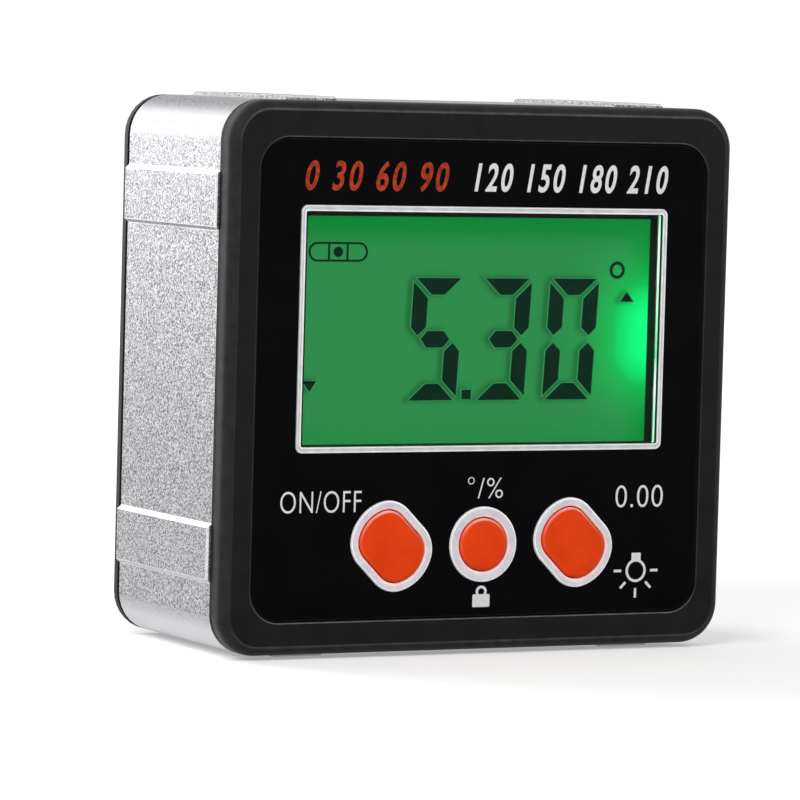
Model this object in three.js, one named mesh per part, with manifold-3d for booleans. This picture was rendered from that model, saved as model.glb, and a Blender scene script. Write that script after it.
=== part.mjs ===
// A digital inclinometer: a square aluminium case with magnetic bands on its four narrow sides,
// a black front with a lit display and three buttons, and a battery door in its back.
// Millimetres. X runs to the right, Y to the back and Z up, and the front faces -Y.
// The origin is under the middle of the case, on the surface that its lower bands stand on.
import * as THREE from 'three';
import { mergeVertices } from 'three/addons/utils/BufferGeometryUtils.js';
import Module from 'manifold-3d';

// Case: an aluminium sleeve, open to the front and to the back
const caseCorner = 4;
const caseWall = 2;
const traySideGap = 0.8;
const boardSpace = 4.2;

// Raised bands, two on each narrow side, which run from front to back
const bandRise = 0.4;
const bandWidth = 5.7;
const bandSlope = 0.35;
const bandInsetX = 9.5;
const bandInsetZ = 9.75;

// Magnets behind the bands
const magnetWidth = 4.4;
const magnetLength = 14;
const magnetThickness = 1.4;
const magnetClearance = 0.1;

// Screws that clamp cover, sleeve and bezel together, in columns in the sleeve's corners
const caseScrewDiameter = 2;
const caseScrewHeadDiameter = 3.8;
const caseScrewHeadHeight = 1.1;
const caseScrewSink = 0.1;
const caseScrewInset = 4.8;
const caseScrewBite = 1.4;
const screwClearance = 0.15;
const pilotSpare = 1.5;
const screwSlotLength = 2.2;
const screwSlotWidth = 0.5;
const screwSlotDepth = 0.6;
const columnRadius = 3;
const bossRadius = 2.1;

// Front bezel, the frame round the face panel
const bezelDepth = 2.7;
const bezelEdgeIn = 0.87;
const bezelEdgeDeep = 1.25;
const bezelPlate = 1.3;
const spigotLength = 2;
const spigotWall = 1.2;
const spigotClearance = 0.15;
const bossLength = 2.2;

// Face panel, sunk into the bezel
const panelSideMargin = 2.95;
const panelEndMargin = 3.35;
const panelCorner = 3.1;
const panelShift = 0.05;
const panelDrop = 0.15;
const panelSink = 0.3;
const panelThickness = 0.5;
const panelClearance = 0.1;

// Display window and the trim line round it
const windowHeight = 22.6;
const windowSideMargin = 5.075;
const windowTopMargin = 7.05;
const windowBottomMargin = 16.85;
const windowShift = 0.15;
const windowCorner = 0.3;
const windowThickness = 0.45;
const windowLedge = 0.25;
const trimWidth = 0.6;
const trimCorner = 0.9;
const trimProud = 0.15;
const trimClearance = 0.05;

// Buttons: the outer two are circles with two flats, the middle one is round
const buttonPitch = 10.05;
const buttonShift = 0.65;
const buttonMargin = 7.15;
const buttonTravel = 0.35;
const buttonClearance = 0.12;
const buttonEdgeIn = 0.4;
const buttonEdgeDeep = 0.35;
const ringRadius = 4.5;
const ringFlat = 3.74;
const ringBlend = 3;
const ringWidth = 0.93;
const middleRingRadius = 3.7;
const middleRingWidth = 1.1;
const ringProud = 0.15;
const flangeWidth = 0.55;
const flangeThickness = 0.6;
const flangeGap = 0.15;
const stemDiameter = 2.4;

// Push switches under the buttons
const switchWidth = 5;
const switchThickness = 2.1;
const switchWellDepth = 0.9;
const plungerDiameter = 2.2;
const plungerProud = 0.7;
const plungerClearance = 0.15;

// Display stack, from the bezel back to the circuit board
const gasketThickness = 0.25;
const gasketWidth = 1.1;
const polarizerThickness = 0.2;
const polarizerInset = 0.3;
const glassThickness = 1.5;
const glassMargin = 1.3;
const glassLedge = 3;
const guideThickness = 1.5;
const guideMargin = 0.3;
const reflectorThickness = 0.2;
const filmGap = 0.05;
const boardGap = 0.25;
const stackClearance = 0.1;
const displayFrameWall = 1;
const displayFrameRib = 0.4;
const contactStripWidth = 1.8;
const contactStripInset = 0.3;
const ledWidth = 1.5;
const ledHeight = 3;
const ledDrop = 0.75;

// Circuit board and what it carries
const boardSideGap = 1.6;
const boardThickness = 1.2;
const boardColumnGap = 0.5;
const boardRim = 1.5;
const standoffRadius = 1.6;
const standoffHighX = 12;
const standoffFrameGap = 0.25;
const standoffLowDrop = 3.75;
const boardScrewDiameter = 1.6;
const boardScrewHeadDiameter = 2.8;
const boardScrewHeadHeight = 0.9;
const boardScrewLength = 3;
const sensorWidth = 4;
const sensorThickness = 1.1;
const sensorX = 9;
const sensorRise = 3;
const controllerRadius = 4.5;
const controllerHeight = 1.3;
const controllerX = -8;
const controllerDrop = 5;

// Rear cover with the battery tray
const rimDepth = 1;
const rimEdge = 0.35;
const grooveDepth = 0.5;
const grooveIn = 0.6;
const trayWall = 1;
const trayFloor = 0.8;

// Battery door, hooked under the cover by two tabs at its lower edge
const doorThickness = 1.3;
const doorOverlap = 0.8;
const doorClearance = 0.25;
const doorCorner = 1.2;
const doorSeatGap = 0.1;
const doorTabSpread = 14;
const doorTabWidth = 5;
const doorTabThickness = 0.8;
const doorTabReach = 1.6;
const doorTabRoot = 0.7;
const doorTabGap = 0.2;
const doorTabPlay = 0.3;
const latchWidth = 8;
const latchThickness = 0.7;
const latchLength = 1;
const latchGap = 0.3;
const dishRadius = 4;
const dishDepth = 0.6;
const gripWidth = 14;
const gripHeight = 5.3;
const gripDepth = 0.4;
const gripDrop = 5.5;
const gripRibWidth = 0.55;
const gripRibPitch = 1.2;
const gripRibCount = 4;

// Two AAA cells that lie one above the other, and their contacts
const cellDiameter = 10.5;
const cellLength = 44.5;
const cellEdge = 0.5;
const cellNubDiameter = 3.8;
const cellNubLength = 0.8;
const cellSpacing = 0.6;
const cellClearance = 0.2;
const cellSideGap = 0.4;
const cellDoorGap = 0.5;
const cellEndGap = 0.05;
const springSpace = 2.25;
const springWire = 0.45;
const springOuterRadius = 3.4;
const springInnerRadius = 1.4;
const springGap = 0.1;
const springTurns = 2.25;
const contactThickness = 0.4;
const contactWidth = 8;
const contactTailWidth = 2;
const contactTailLength = 1.4;
const contactClearance = 0.15;
const leadDiameter = 0.9;
const leadGap = 0.1;
const leadReach = 2;
const leadRouteShares = [[0, 0], [0, 0.3], [0.35, 0.62], [0.85, 0.68], [1, 1]];

// Fineness of round shapes, and allowances for building them
const arcSteps = 4;
const coarseSteps = 2;
const edgeSteps = 3;
const domeSteps = 6;
const circleSides = 28;
const smallSides = 12;
const leadArcSteps = 1;
const leadSteps = 10;
const springStepsPerTurn = 8;
const springSides = 5;
const overrun = 1;
const weld = 0.0001;

// Sizes that follow from the pieces inside: cells set the width, window and buttons the height
const trayInnerWidth = cellLength + springSpace + 2 * contactThickness + cellEndGap;
const trayOuterWidth = trayInnerWidth + 2 * trayWall;
const innerWidth = trayOuterWidth + 2 * traySideGap;
const caseWidth = innerWidth + 2 * caseWall;
const panelWidth = caseWidth - 2 * panelSideMargin;
const windowWidth = panelWidth - 2 * windowSideMargin;
const panelHeight = windowTopMargin + windowHeight + windowBottomMargin;
const caseHeight = panelHeight + 2 * panelEndMargin;
const innerHeight = caseHeight - 2 * caseWall;
const innerCorner = caseCorner - caseWall;

// The depth is that of the display stack with the board, the room behind it and the battery tray
const plateDepth = panelSink + panelThickness + bezelPlate;
const glassDepth = gasketThickness + polarizerThickness + glassThickness + polarizerThickness;
const lightDepth = filmGap + guideThickness + filmGap + reflectorThickness + boardGap + boardThickness;
const trayDepth = trayFloor + cellClearance + cellDiameter + cellDoorGap + doorThickness;
const caseDepth = plateDepth + glassDepth + lightDepth + boardSpace + trayDepth;

// Places along Y, from front to back
const front = -caseDepth / 2;
const back = caseDepth / 2;
const frameFront = front + bezelDepth;
const frameBack = back - rimDepth - grooveDepth;
const panelFront = front + panelSink;
const panelBack = panelFront + panelThickness;
const bezelInside = panelBack + bezelPlate;
const spigotBack = frameFront + spigotLength;
const bossBack = frameFront + bossLength;
const caseScrewTip = bossBack - caseScrewBite;
const coverSpigotFront = frameBack - spigotLength;
const coverBossFront = frameBack - bossLength;
const polarizerFront = bezelInside + gasketThickness;
const glassFront = polarizerFront + polarizerThickness;
const glassBack = glassFront + glassThickness;
const rearPolarizerBack = glassBack + polarizerThickness;
const guideFront = rearPolarizerBack + filmGap;
const guideBack = guideFront + guideThickness;
const reflectorFront = guideBack + filmGap;
const reflectorBack = reflectorFront + reflectorThickness;
const boardFront = reflectorBack + boardGap;
const boardBack = boardFront + boardThickness;
const boardScrewTip = boardBack - boardScrewLength;
const switchFront = boardFront - switchThickness;
const plungerFront = switchFront - plungerProud;
const plungerBack = switchFront + switchWellDepth - buttonTravel - plungerClearance;
const flangeFront = bezelInside + flangeGap;
const flangeBack = flangeFront + flangeThickness;
const trayFront = boardBack + boardSpace;
const trayInside = trayFront + trayFloor;
const cellY = trayInside + cellClearance + cellDiameter / 2;
const doorInside = back - doorThickness;
const trayRim = doorInside - doorSeatGap;

// Places across the front
const middle = bandRise + caseHeight / 2;
const bandSpreadX = caseWidth / 2 - bandInsetX;
const bandSpreadZ = caseHeight / 2 - bandInsetZ;
const panelZ = middle - panelDrop;
const panelBottom = panelZ - panelHeight / 2;
const windowZ = panelBottom + windowBottomMargin + windowHeight / 2;
const buttonZ = panelBottom + buttonMargin;
const screwX = caseWidth / 2 - caseScrewInset;
const screwRise = caseHeight / 2 - caseScrewInset;
const glassWidth = windowWidth + 2 * glassMargin;
const glassTop = windowZ + windowHeight / 2 + glassMargin;
const glassBottom = windowZ - windowHeight / 2 - glassLedge;
const stripBottom = glassBottom + contactStripInset;
const stripTop = stripBottom + contactStripWidth;
const guideBottom = stripTop + 2 * stackClearance + displayFrameRib;
const guideTop = windowZ + windowHeight / 2 + guideMargin;
const guideWidth = windowWidth;
const ledX = windowShift + guideWidth / 2 + 2 * stackClearance;
const ledZ = windowZ - ledDrop;

// Board, whose two upper screws lie above the display and two lower ones between the buttons
const standoffHighZ = glassTop + stackClearance + displayFrameWall + standoffFrameGap + standoffRadius;
const standoffLowZ = buttonZ - standoffLowDrop;
const boardWidth = innerWidth - 2 * boardSideGap;
const boardTop = standoffHighZ + boardRim;
const boardBottom = standoffLowZ - boardRim;
const columnReach = screwX + screwRise - Math.SQRT2 * (columnRadius + boardColumnGap);

// Battery tray, door and cells
const cellRise = cellDiameter / 2 + cellSpacing / 2;
const trayInnerHeight = 2 * (cellRise + cellDiameter / 2 + cellSideGap);
const trayOuterHeight = trayInnerHeight + 2 * trayWall;
const doorWidth = trayInnerWidth + 2 * doorOverlap;
const doorHeight = trayInnerHeight + 2 * doorOverlap;
const doorBottom = middle - doorHeight / 2;
const doorTop = middle + doorHeight / 2;
const doorTabBack = frameBack - doorTabGap;
const doorTabFront = doorTabBack - doorTabThickness;

// Finishes
const finishes = {
  aluminium: { color: 0xc9c9cc, roughness: 0.42, metalness: 1 },
  blackPlastic: { color: 0x222223, roughness: 0.5, metalness: 0 },
  glossPanel: { color: 0x0c0c0d, roughness: 0.2, metalness: 0 },
  silverTrim: { color: 0xd8d4de, roughness: 0.35, metalness: 0.2 },
  clearPlastic: { color: 0xeef6f0, roughness: 0.05, metalness: 0, transparent: true, opacity: 0.25 },
  displayGreen: { color: 0x2f8b4b, roughness: 0.25, metalness: 0 },
  displayGlass: { color: 0xa9c7ae, roughness: 0.1, metalness: 0, transparent: true, opacity: 0.6 },
  lightGuide: { color: 0xdff5e4, roughness: 0.3, metalness: 0 },
  whitePlastic: { color: 0xe9e8e2, roughness: 0.5, metalness: 0 },
  orangeRubber: { color: 0xdf4416, roughness: 0.4, metalness: 0 },
  foam: { color: 0x1a1a1a, roughness: 0.95, metalness: 0 },
  contactRubber: { color: 0xc98f9a, roughness: 0.7, metalness: 0 },
  boardGreen: { color: 0x14532d, roughness: 0.4, metalness: 0 },
  chipBlack: { color: 0x17171a, roughness: 0.45, metalness: 0 },
  steel: { color: 0xb9bcc0, roughness: 0.3, metalness: 1 },
  magnetNickel: { color: 0xa7a9ac, roughness: 0.25, metalness: 1 },
  cellJacket: { color: 0x2d4f7c, roughness: 0.35, metalness: 0.3 },
  redLead: { color: 0xb01818, roughness: 0.5, metalness: 0 },
  blackLead: { color: 0x151515, roughness: 0.5, metalness: 0 },
};

const wasm = await Module();
wasm.setup();

// Turns a closed geometry into a solid that can be joined and cut
function toSolid(geometry) {
  const bare = geometry.clone();
  bare.deleteAttribute('normal');
  bare.deleteAttribute('uv');
  const merged = mergeVertices(bare, weld);
  const index = merged.index.array;
  const corners = [];
  for (let i = 0; i < index.length; i += 3) {
    const [a, b, c] = [index[i], index[i + 1], index[i + 2]];
    if (a !== b && b !== c && c !== a) corners.push(a, b, c);
  }
  return new wasm.Manifold(new wasm.Mesh({
    numProp: 3,
    vertProperties: new Float32Array(merged.attributes.position.array),
    triVerts: new Uint32Array(corners),
  }));
}

// A rounded rectangle about (x, z), seen from the front
function roundRect(width, height, radius, x = 0, z = 0) {
  const shape = new THREE.Shape();
  const left = x - width / 2 + radius;
  const right = x + width / 2 - radius;
  const bottom = z - height / 2 + radius;
  const top = z + height / 2 - radius;
  shape.absarc(right, bottom, radius, -Math.PI / 2, 0);
  shape.absarc(right, top, radius, 0, Math.PI / 2);
  shape.absarc(left, top, radius, Math.PI / 2, Math.PI);
  shape.absarc(left, bottom, radius, Math.PI, 1.5 * Math.PI);
  shape.closePath();
  return shape;
}

// Turns a point by quarter turns about the origin
function quarterTurn([x, z], turns) {
  let point = [x, z];
  for (let i = 0; i < turns; i += 1) point = [-point[1], point[0]];
  return point;
}

// The four narrow sides: how far each reaches along and out, and where its bands are
const halfWidth = caseWidth / 2;
const halfHeight = caseHeight / 2;
const sides = [
  { name: 'bottom', half: halfWidth, reach: halfHeight, spread: bandSpreadX, ends: ['left', 'right'] },
  { name: 'right', half: halfHeight, reach: halfWidth, spread: bandSpreadZ, ends: ['lower', 'upper'] },
  { name: 'top', half: halfWidth, reach: halfHeight, spread: bandSpreadX, ends: ['right', 'left'] },
  { name: 'left', half: halfHeight, reach: halfWidth, spread: bandSpreadZ, ends: ['upper', 'lower'] },
];

// The outline of the sleeve with its eight bands, about the middle of the case
function bandedOutline() {
  const shape = new THREE.Shape();
  shape.moveTo(-caseWidth / 2 + caseCorner, -caseHeight / 2);
  sides.forEach((side, turns) => {
    for (const sign of [-1, 1]) {
      const centre = sign * side.spread;
      const foot = bandWidth / 2;
      const crest = bandWidth / 2 - bandSlope;
      const profile = [[-foot, 0], [-crest, bandRise], [crest, bandRise], [foot, 0]];
      for (const [along, rise] of profile) {
        const [x, z] = quarterTurn([centre + along, -side.reach - rise], turns);
        shape.lineTo(x, z);
      }
    }
    const [x, z] = quarterTurn([side.half - caseCorner, -side.reach + caseCorner], turns);
    shape.absarc(x, z, caseCorner, (turns - 1) * Math.PI / 2, turns * Math.PI / 2);
  });
  shape.closePath();
  return shape;
}

// A circle with two flats, its corners blended, turned so that its long way falls to the right
function flattedCircle(inset, x, z) {
  const radius = ringRadius - inset;
  const flat = ringFlat - inset;
  const blend = ringBlend - inset;
  const across = flat - blend;
  const along = Math.sqrt((radius - blend) ** 2 - across ** 2);
  const lean = Math.atan2(across, along);
  const turn = -Math.PI / 4;
  const shape = new THREE.Shape();
  for (const half of [0, Math.PI]) {
    const start = turn + half;
    const [c, s] = [Math.cos(start), Math.sin(start)];
    const lower = [x + along * c + across * s, z + along * s - across * c];
    const upper = [x + along * c - across * s, z + along * s + across * c];
    shape.absarc(...lower, blend, start - Math.PI / 2, start - lean);
    shape.absarc(x, z, radius, start - lean, start + lean);
    shape.absarc(...upper, blend, start + lean, start + Math.PI / 2);
  }
  shape.closePath();
  return shape;
}

// A plain circle about (x, z)
function circle(radius, x, z) {
  return roundRect(2 * radius, 2 * radius, radius, x, z);
}

// Lays a shape that is drawn from the front into the model, with its back at the given place
function stand(geometry, yBack) {
  const turned = new THREE.Matrix4().set(1, 0, 0, 0, 0, 0, -1, yBack, 0, 1, 0, 0, 0, 0, 0, 1);
  return geometry.applyMatrix4(turned);
}

// A plate with an outline that is seen from the front
function slab(shape, yFront, yBack, curveSegments = arcSteps) {
  const depth = yBack - yFront;
  const geometry = new THREE.ExtrudeGeometry(shape, { depth, bevelEnabled: false, curveSegments });
  return toSolid(stand(geometry, yBack));
}

// A box between two places on each axis
function block(xMin, xMax, yMin, yMax, zMin, zMax) {
  const geometry = new THREE.BoxGeometry(xMax - xMin, yMax - yMin, zMax - zMin);
  geometry.translate((xMin + xMax) / 2, (yMin + yMax) / 2, (zMin + zMax) / 2);
  return toSolid(geometry);
}

// A plate with one edge rounded off: the front edge, or the back one
function softSlab(shape, yFront, yBack, edgeIn, edgeDeep, roundBack = false) {
  const depth = yBack - yFront;
  const geometry = new THREE.ExtrudeGeometry(shape, {
    depth,
    bevelEnabled: true,
    bevelThickness: edgeDeep,
    bevelSize: edgeIn,
    bevelOffset: -edgeIn,
    bevelSegments: edgeSteps,
    curveSegments: arcSteps,
  });
  const solid = toSolid(stand(geometry, roundBack ? yBack - edgeDeep : yBack + edgeDeep));
  const reach = caseWidth + caseHeight;
  const spare = edgeDeep + overrun;
  const waste = roundBack
    ? block(-reach, reach, yFront - edgeDeep - spare, yFront, -reach, reach)
    : block(-reach, reach, yBack, yBack + edgeDeep + spare, -reach, reach);
  return solid.subtract(waste);
}

// A round bar along Y
function bar(radius, yFront, yBack, x, z, sideCount = smallSides) {
  const geometry = new THREE.CylinderGeometry(radius, radius, yBack - yFront, sideCount);
  geometry.translate(x, (yFront + yBack) / 2, z);
  return toSolid(geometry);
}

const join = (...solids) => solids.reduce((whole, piece) => whole.add(piece));
const cut = (solid, ...tools) => tools.reduce((rest, tool) => rest.subtract(tool), solid);
const corners = [[-1, -1], [1, -1], [1, 1], [-1, 1]];
const cornerNames = ['lower_left', 'lower_right', 'upper_right', 'upper_left'];

const model = new THREE.Group();

// Adds a finished solid to the model as a named mesh
function add(name, solid, finish) {
  const { vertProperties, triVerts } = solid.getMesh();
  const geometry = new THREE.BufferGeometry();
  geometry.setAttribute('position', new THREE.BufferAttribute(vertProperties, 3));
  geometry.setIndex(new THREE.BufferAttribute(triVerts, 1));
  geometry.computeVertexNormals();
  const mesh = new THREE.Mesh(geometry, new THREE.MeshStandardMaterial(finishes[finish]));
  mesh.name = name;
  model.add(mesh);
}

// Magnet or its pocket, in the wall behind the band on one side of the case
function magnetBlock(side, turns, sign, clearance) {
  const inner = side.reach - caseWall;
  const [x, z] = quarterTurn([sign * side.spread, -inner - magnetThickness / 2], turns);
  const along = magnetWidth / 2 + clearance;
  const through = magnetThickness / 2;
  const [halfX, halfZ] = turns % 2 === 0 ? [along, through] : [through, along];
  const centre = (frameFront + frameBack) / 2;
  const deep = magnetLength / 2 + clearance;
  return block(x - halfX, x + halfX, centre - deep, centre + deep, middle + z - halfZ, middle + z + halfZ);
}

// Sleeve, with a column for a screw in each corner and a pocket for each magnet
function addCaseFrame() {
  const outline = bandedOutline();
  outline.holes.push(roundRect(innerWidth, innerHeight, innerCorner));
  let frame = slab(outline, frameFront, frameBack).translate(0, 0, middle);
  for (const [sx, sz] of corners) {
    const z = middle + sz * screwRise;
    frame = frame.add(bar(columnRadius, bossBack, coverBossFront, sx * screwX, z, circleSides));
  }
  for (const [sx, sz] of corners) {
    const z = middle + sz * screwRise;
    const hole = caseScrewDiameter / 2 + screwClearance;
    frame = frame.subtract(bar(hole, frameFront, frameBack, sx * screwX, z));
  }
  sides.forEach((side, turns) => {
    side.ends.forEach((end, place) => {
      const sign = place === 0 ? -1 : 1;
      frame = frame.subtract(magnetBlock(side, turns, sign, magnetClearance));
      add(`magnet_${side.name}_${end}`, magnetBlock(side, turns, sign, 0), 'magnetNickel');
    });
  });
  add('case_frame', frame, 'aluminium');
}

// The outline of button number i of the row, made smaller all round by the inset
function buttonShape(i, inset) {
  const x = buttonShift + (i - 1) * buttonPitch;
  return i === 1 ? circle(middleRingRadius - inset, x, buttonZ) : flattedCircle(inset, x, buttonZ);
}

// How wide the ring round button number i is
function ringWidthOf(i) {
  return i === 1 ? middleRingWidth : ringWidth;
}

const buttonNames = ['left', 'middle', 'right'];

// Where the board is screwed to the bezel
const standoffs = [
  [buttonShift - buttonPitch / 2, standoffLowZ],
  [buttonShift + buttonPitch / 2, standoffLowZ],
  [standoffHighX, standoffHighZ],
  [-standoffHighX, standoffHighZ],
];

// Bezel: a plate with a sunk floor for the panel, a spigot into the sleeve, bosses and standoffs
function addFrontBezel() {
  const outline = roundRect(caseWidth, caseHeight, caseCorner, 0, middle);
  const spigotWidth = innerWidth - 2 * spigotClearance;
  const spigotHeight = innerHeight - 2 * spigotClearance;
  const spigotCorner = innerCorner - spigotClearance;
  const holeWidth = spigotWidth - 2 * spigotWall;
  const holeHeight = spigotHeight - 2 * spigotWall;
  const holeCorner = spigotCorner - spigotWall;
  const spigot = roundRect(spigotWidth, spigotHeight, spigotCorner, 0, middle);
  const spigotHole = roundRect(holeWidth, holeHeight, holeCorner, 0, middle);
  let bezel = join(
    softSlab(outline, front, frameFront, bezelEdgeIn, bezelEdgeDeep),
    slab(spigot, bezelInside, spigotBack, coarseSteps),
  );
  bezel = cut(
    bezel,
    slab(spigotHole, bezelInside, spigotBack + overrun, coarseSteps),
    slab(roundRect(panelWidth, panelHeight, panelCorner, panelShift, panelZ), front - overrun, panelBack),
  );
  for (const [sx, sz] of corners) {
    const [x, z] = [sx * screwX, middle + sz * screwRise];
    const boss = bar(bossRadius, bezelInside - bezelPlate / 2, bossBack, x, z, circleSides);
    bezel = bezel.add(boss);
  }
  for (const [x, z] of standoffs) {
    bezel = bezel.add(bar(standoffRadius, bezelInside - bezelPlate / 2, boardFront, x, z));
  }
  for (const [sx, sz] of corners) {
    const hole = caseScrewDiameter / 2 + screwClearance;
    const [x, z] = [sx * screwX, middle + sz * screwRise];
    bezel = bezel.subtract(bar(hole, caseScrewTip - pilotSpare, bossBack + overrun, x, z));
  }
  for (const [x, z] of standoffs) {
    const hole = boardScrewDiameter / 2 + screwClearance;
    bezel = bezel.subtract(bar(hole, boardScrewTip - pilotSpare, boardFront + overrun, x, z));
  }
  const openingWidth = windowWidth - 2 * windowLedge;
  const openingHeight = windowHeight - 2 * windowLedge;
  const opening = roundRect(openingWidth, openingHeight, windowCorner, windowShift, windowZ);
  bezel = bezel.subtract(slab(opening, front, bezelInside + overrun, coarseSteps));
  buttonNames.forEach((name, i) => {
    bezel = bezel.subtract(slab(buttonShape(i, ringWidthOf(i)), front, bezelInside + overrun));
  });
  add('front_bezel', bezel, 'blackPlastic');
}

// Face panel with a hole for the window trim and for each button ring
function addFacePanel() {
  const width = panelWidth - 2 * panelClearance;
  const height = panelHeight - 2 * panelClearance;
  const outline = roundRect(width, height, panelCorner - panelClearance, panelShift, panelZ);
  const spare = trimWidth + trimClearance;
  const holeCorner = trimCorner + trimClearance;
  const holeWidth = windowWidth + 2 * spare;
  const holeHeight = windowHeight + 2 * spare;
  outline.holes.push(roundRect(holeWidth, holeHeight, holeCorner, windowShift, windowZ));
  buttonNames.forEach((name, i) => outline.holes.push(buttonShape(i, -trimClearance)));
  add('face_panel', slab(outline, panelFront, panelBack), 'glossPanel');
}

// The clear window in its trim, both seated on the floor of the bezel
function addWindow() {
  const trimOuterWidth = windowWidth + 2 * trimWidth;
  const trimOuterHeight = windowHeight + 2 * trimWidth;
  const trim = roundRect(trimOuterWidth, trimOuterHeight, trimCorner, windowShift, windowZ);
  trim.holes.push(roundRect(windowWidth, windowHeight, windowCorner, windowShift, windowZ));
  add('window_trim', slab(trim, panelFront - trimProud, panelBack, coarseSteps), 'silverTrim');
  const width = windowWidth - 2 * trimClearance;
  const height = windowHeight - 2 * trimClearance;
  const corner = windowCorner - trimClearance;
  const outline = roundRect(width, height, corner, windowShift, windowZ);
  add('display_window', slab(outline, panelBack - windowThickness, panelBack, coarseSteps), 'clearPlastic');
}

// One button: its ring, its cap with a flange and a stem, and the push switch behind it
function addButton(name, i) {
  const x = buttonShift + (i - 1) * buttonPitch;
  const ringShape = buttonShape(i, 0);
  ringShape.holes.push(buttonShape(i, ringWidthOf(i)));
  add(`button_ring_${name}`, slab(ringShape, panelFront - ringProud, panelBack), 'silverTrim');

  const capInset = ringWidthOf(i) + buttonClearance;
  const cap = join(
    softSlab(buttonShape(i, capInset), front, flangeBack, buttonEdgeIn, buttonEdgeDeep),
    slab(buttonShape(i, capInset - flangeWidth), flangeFront, flangeBack, coarseSteps),
    bar(stemDiameter / 2, flangeFront, plungerFront, x, buttonZ),
  );
  add(`button_cap_${name}`, cap, 'orangeRubber');

  const half = switchWidth / 2;
  const well = plungerDiameter / 2 + plungerClearance;
  const body = cut(
    block(x - half, x + half, switchFront, boardFront, buttonZ - half, buttonZ + half),
    bar(well, switchFront - overrun, switchFront + switchWellDepth, x, buttonZ),
  );
  add(`switch_body_${name}`, body, 'steel');
  const plunger = bar(plungerDiameter / 2, plungerFront, plungerBack, x, buttonZ);
  add(`switch_plunger_${name}`, plunger, 'chipBlack');
}

// Display: gasket, polarizers, glass, light guide, reflector and the frame that holds them
function addDisplay() {
  const left = windowShift - glassWidth / 2;
  const right = windowShift + glassWidth / 2;
  const gasketOuterWidth = windowWidth + 2 * gasketWidth;
  const gasketOuterHeight = windowHeight + 2 * gasketWidth;
  const gasket = roundRect(gasketOuterWidth, gasketOuterHeight, gasketWidth, windowShift, windowZ);
  gasket.holes.push(roundRect(windowWidth, windowHeight, windowCorner, windowShift, windowZ));
  add('display_gasket', slab(gasket, bezelInside, polarizerFront, coarseSteps), 'foam');

  const filmLeft = left + polarizerInset;
  const filmRight = right - polarizerInset;
  const filmTop = glassTop - polarizerInset;
  const filmBottom = stripTop + polarizerInset;
  const frontFilm = block(filmLeft, filmRight, polarizerFront, glassFront, filmBottom, filmTop);
  add('front_polarizer', frontFilm, 'displayGreen');
  add('display_glass', block(left, right, glassFront, glassBack, glassBottom, glassTop), 'displayGlass');
  const rearFilm = block(filmLeft, filmRight, glassBack, rearPolarizerBack, guideBottom, guideTop);
  add('rear_polarizer', rearFilm, 'displayGreen');

  const guideLeft = windowShift - guideWidth / 2;
  const guideRight = windowShift + guideWidth / 2;
  const guide = block(guideLeft, guideRight, guideFront, guideBack, guideBottom, guideTop);
  add('light_guide', guide, 'lightGuide');
  const reflector = block(guideLeft, guideRight, reflectorFront, reflectorBack, guideBottom, guideTop);
  add('light_reflector', reflector, 'whitePlastic');

  const ledBottom = ledZ - ledHeight / 2;
  const ledTop = ledZ + ledHeight / 2;
  const led = block(ledX, ledX + ledWidth, guideFront, boardFront, ledBottom, ledTop);
  add('backlight_led', led, 'whitePlastic');
  const stripLeft = windowShift - guideWidth / 2;
  const stripRight = windowShift + guideWidth / 2;
  const strip = block(stripLeft, stripRight, glassBack, boardFront, stripBottom, stripTop);
  add('contact_strip', strip, 'contactRubber');

  const gap = stackClearance;
  const outer = gap + displayFrameWall;
  const shellBottom = glassBottom - outer;
  const shellTop = glassTop + outer;
  const frameShell = block(left - outer, right + outer, polarizerFront, boardFront, shellBottom, shellTop);
  const glassPocket = block(left - gap, right + gap, front, glassBack, glassBottom - gap, glassTop + gap);
  const filmPocket = block(
    filmLeft - gap,
    filmRight + gap,
    front,
    rearPolarizerBack + filmGap / 2,
    guideBottom - gap,
    guideTop + gap,
  );
  const guidePocket = block(
    guideLeft - gap,
    guideRight + gap,
    front,
    back,
    guideBottom - gap,
    guideTop + gap,
  );
  const stripPocket = block(
    stripLeft - gap,
    stripRight + gap,
    front,
    back,
    stripBottom - gap,
    stripTop + gap,
  );
  const ledPocket = block(
    guideRight,
    ledX + ledWidth + gap,
    guideFront - gap,
    back,
    ledBottom - gap,
    ledTop + gap,
  );
  const holder = cut(frameShell, glassPocket, filmPocket, guidePocket, stripPocket, ledPocket);
  add('display_frame', holder, 'whitePlastic');
}

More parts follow.
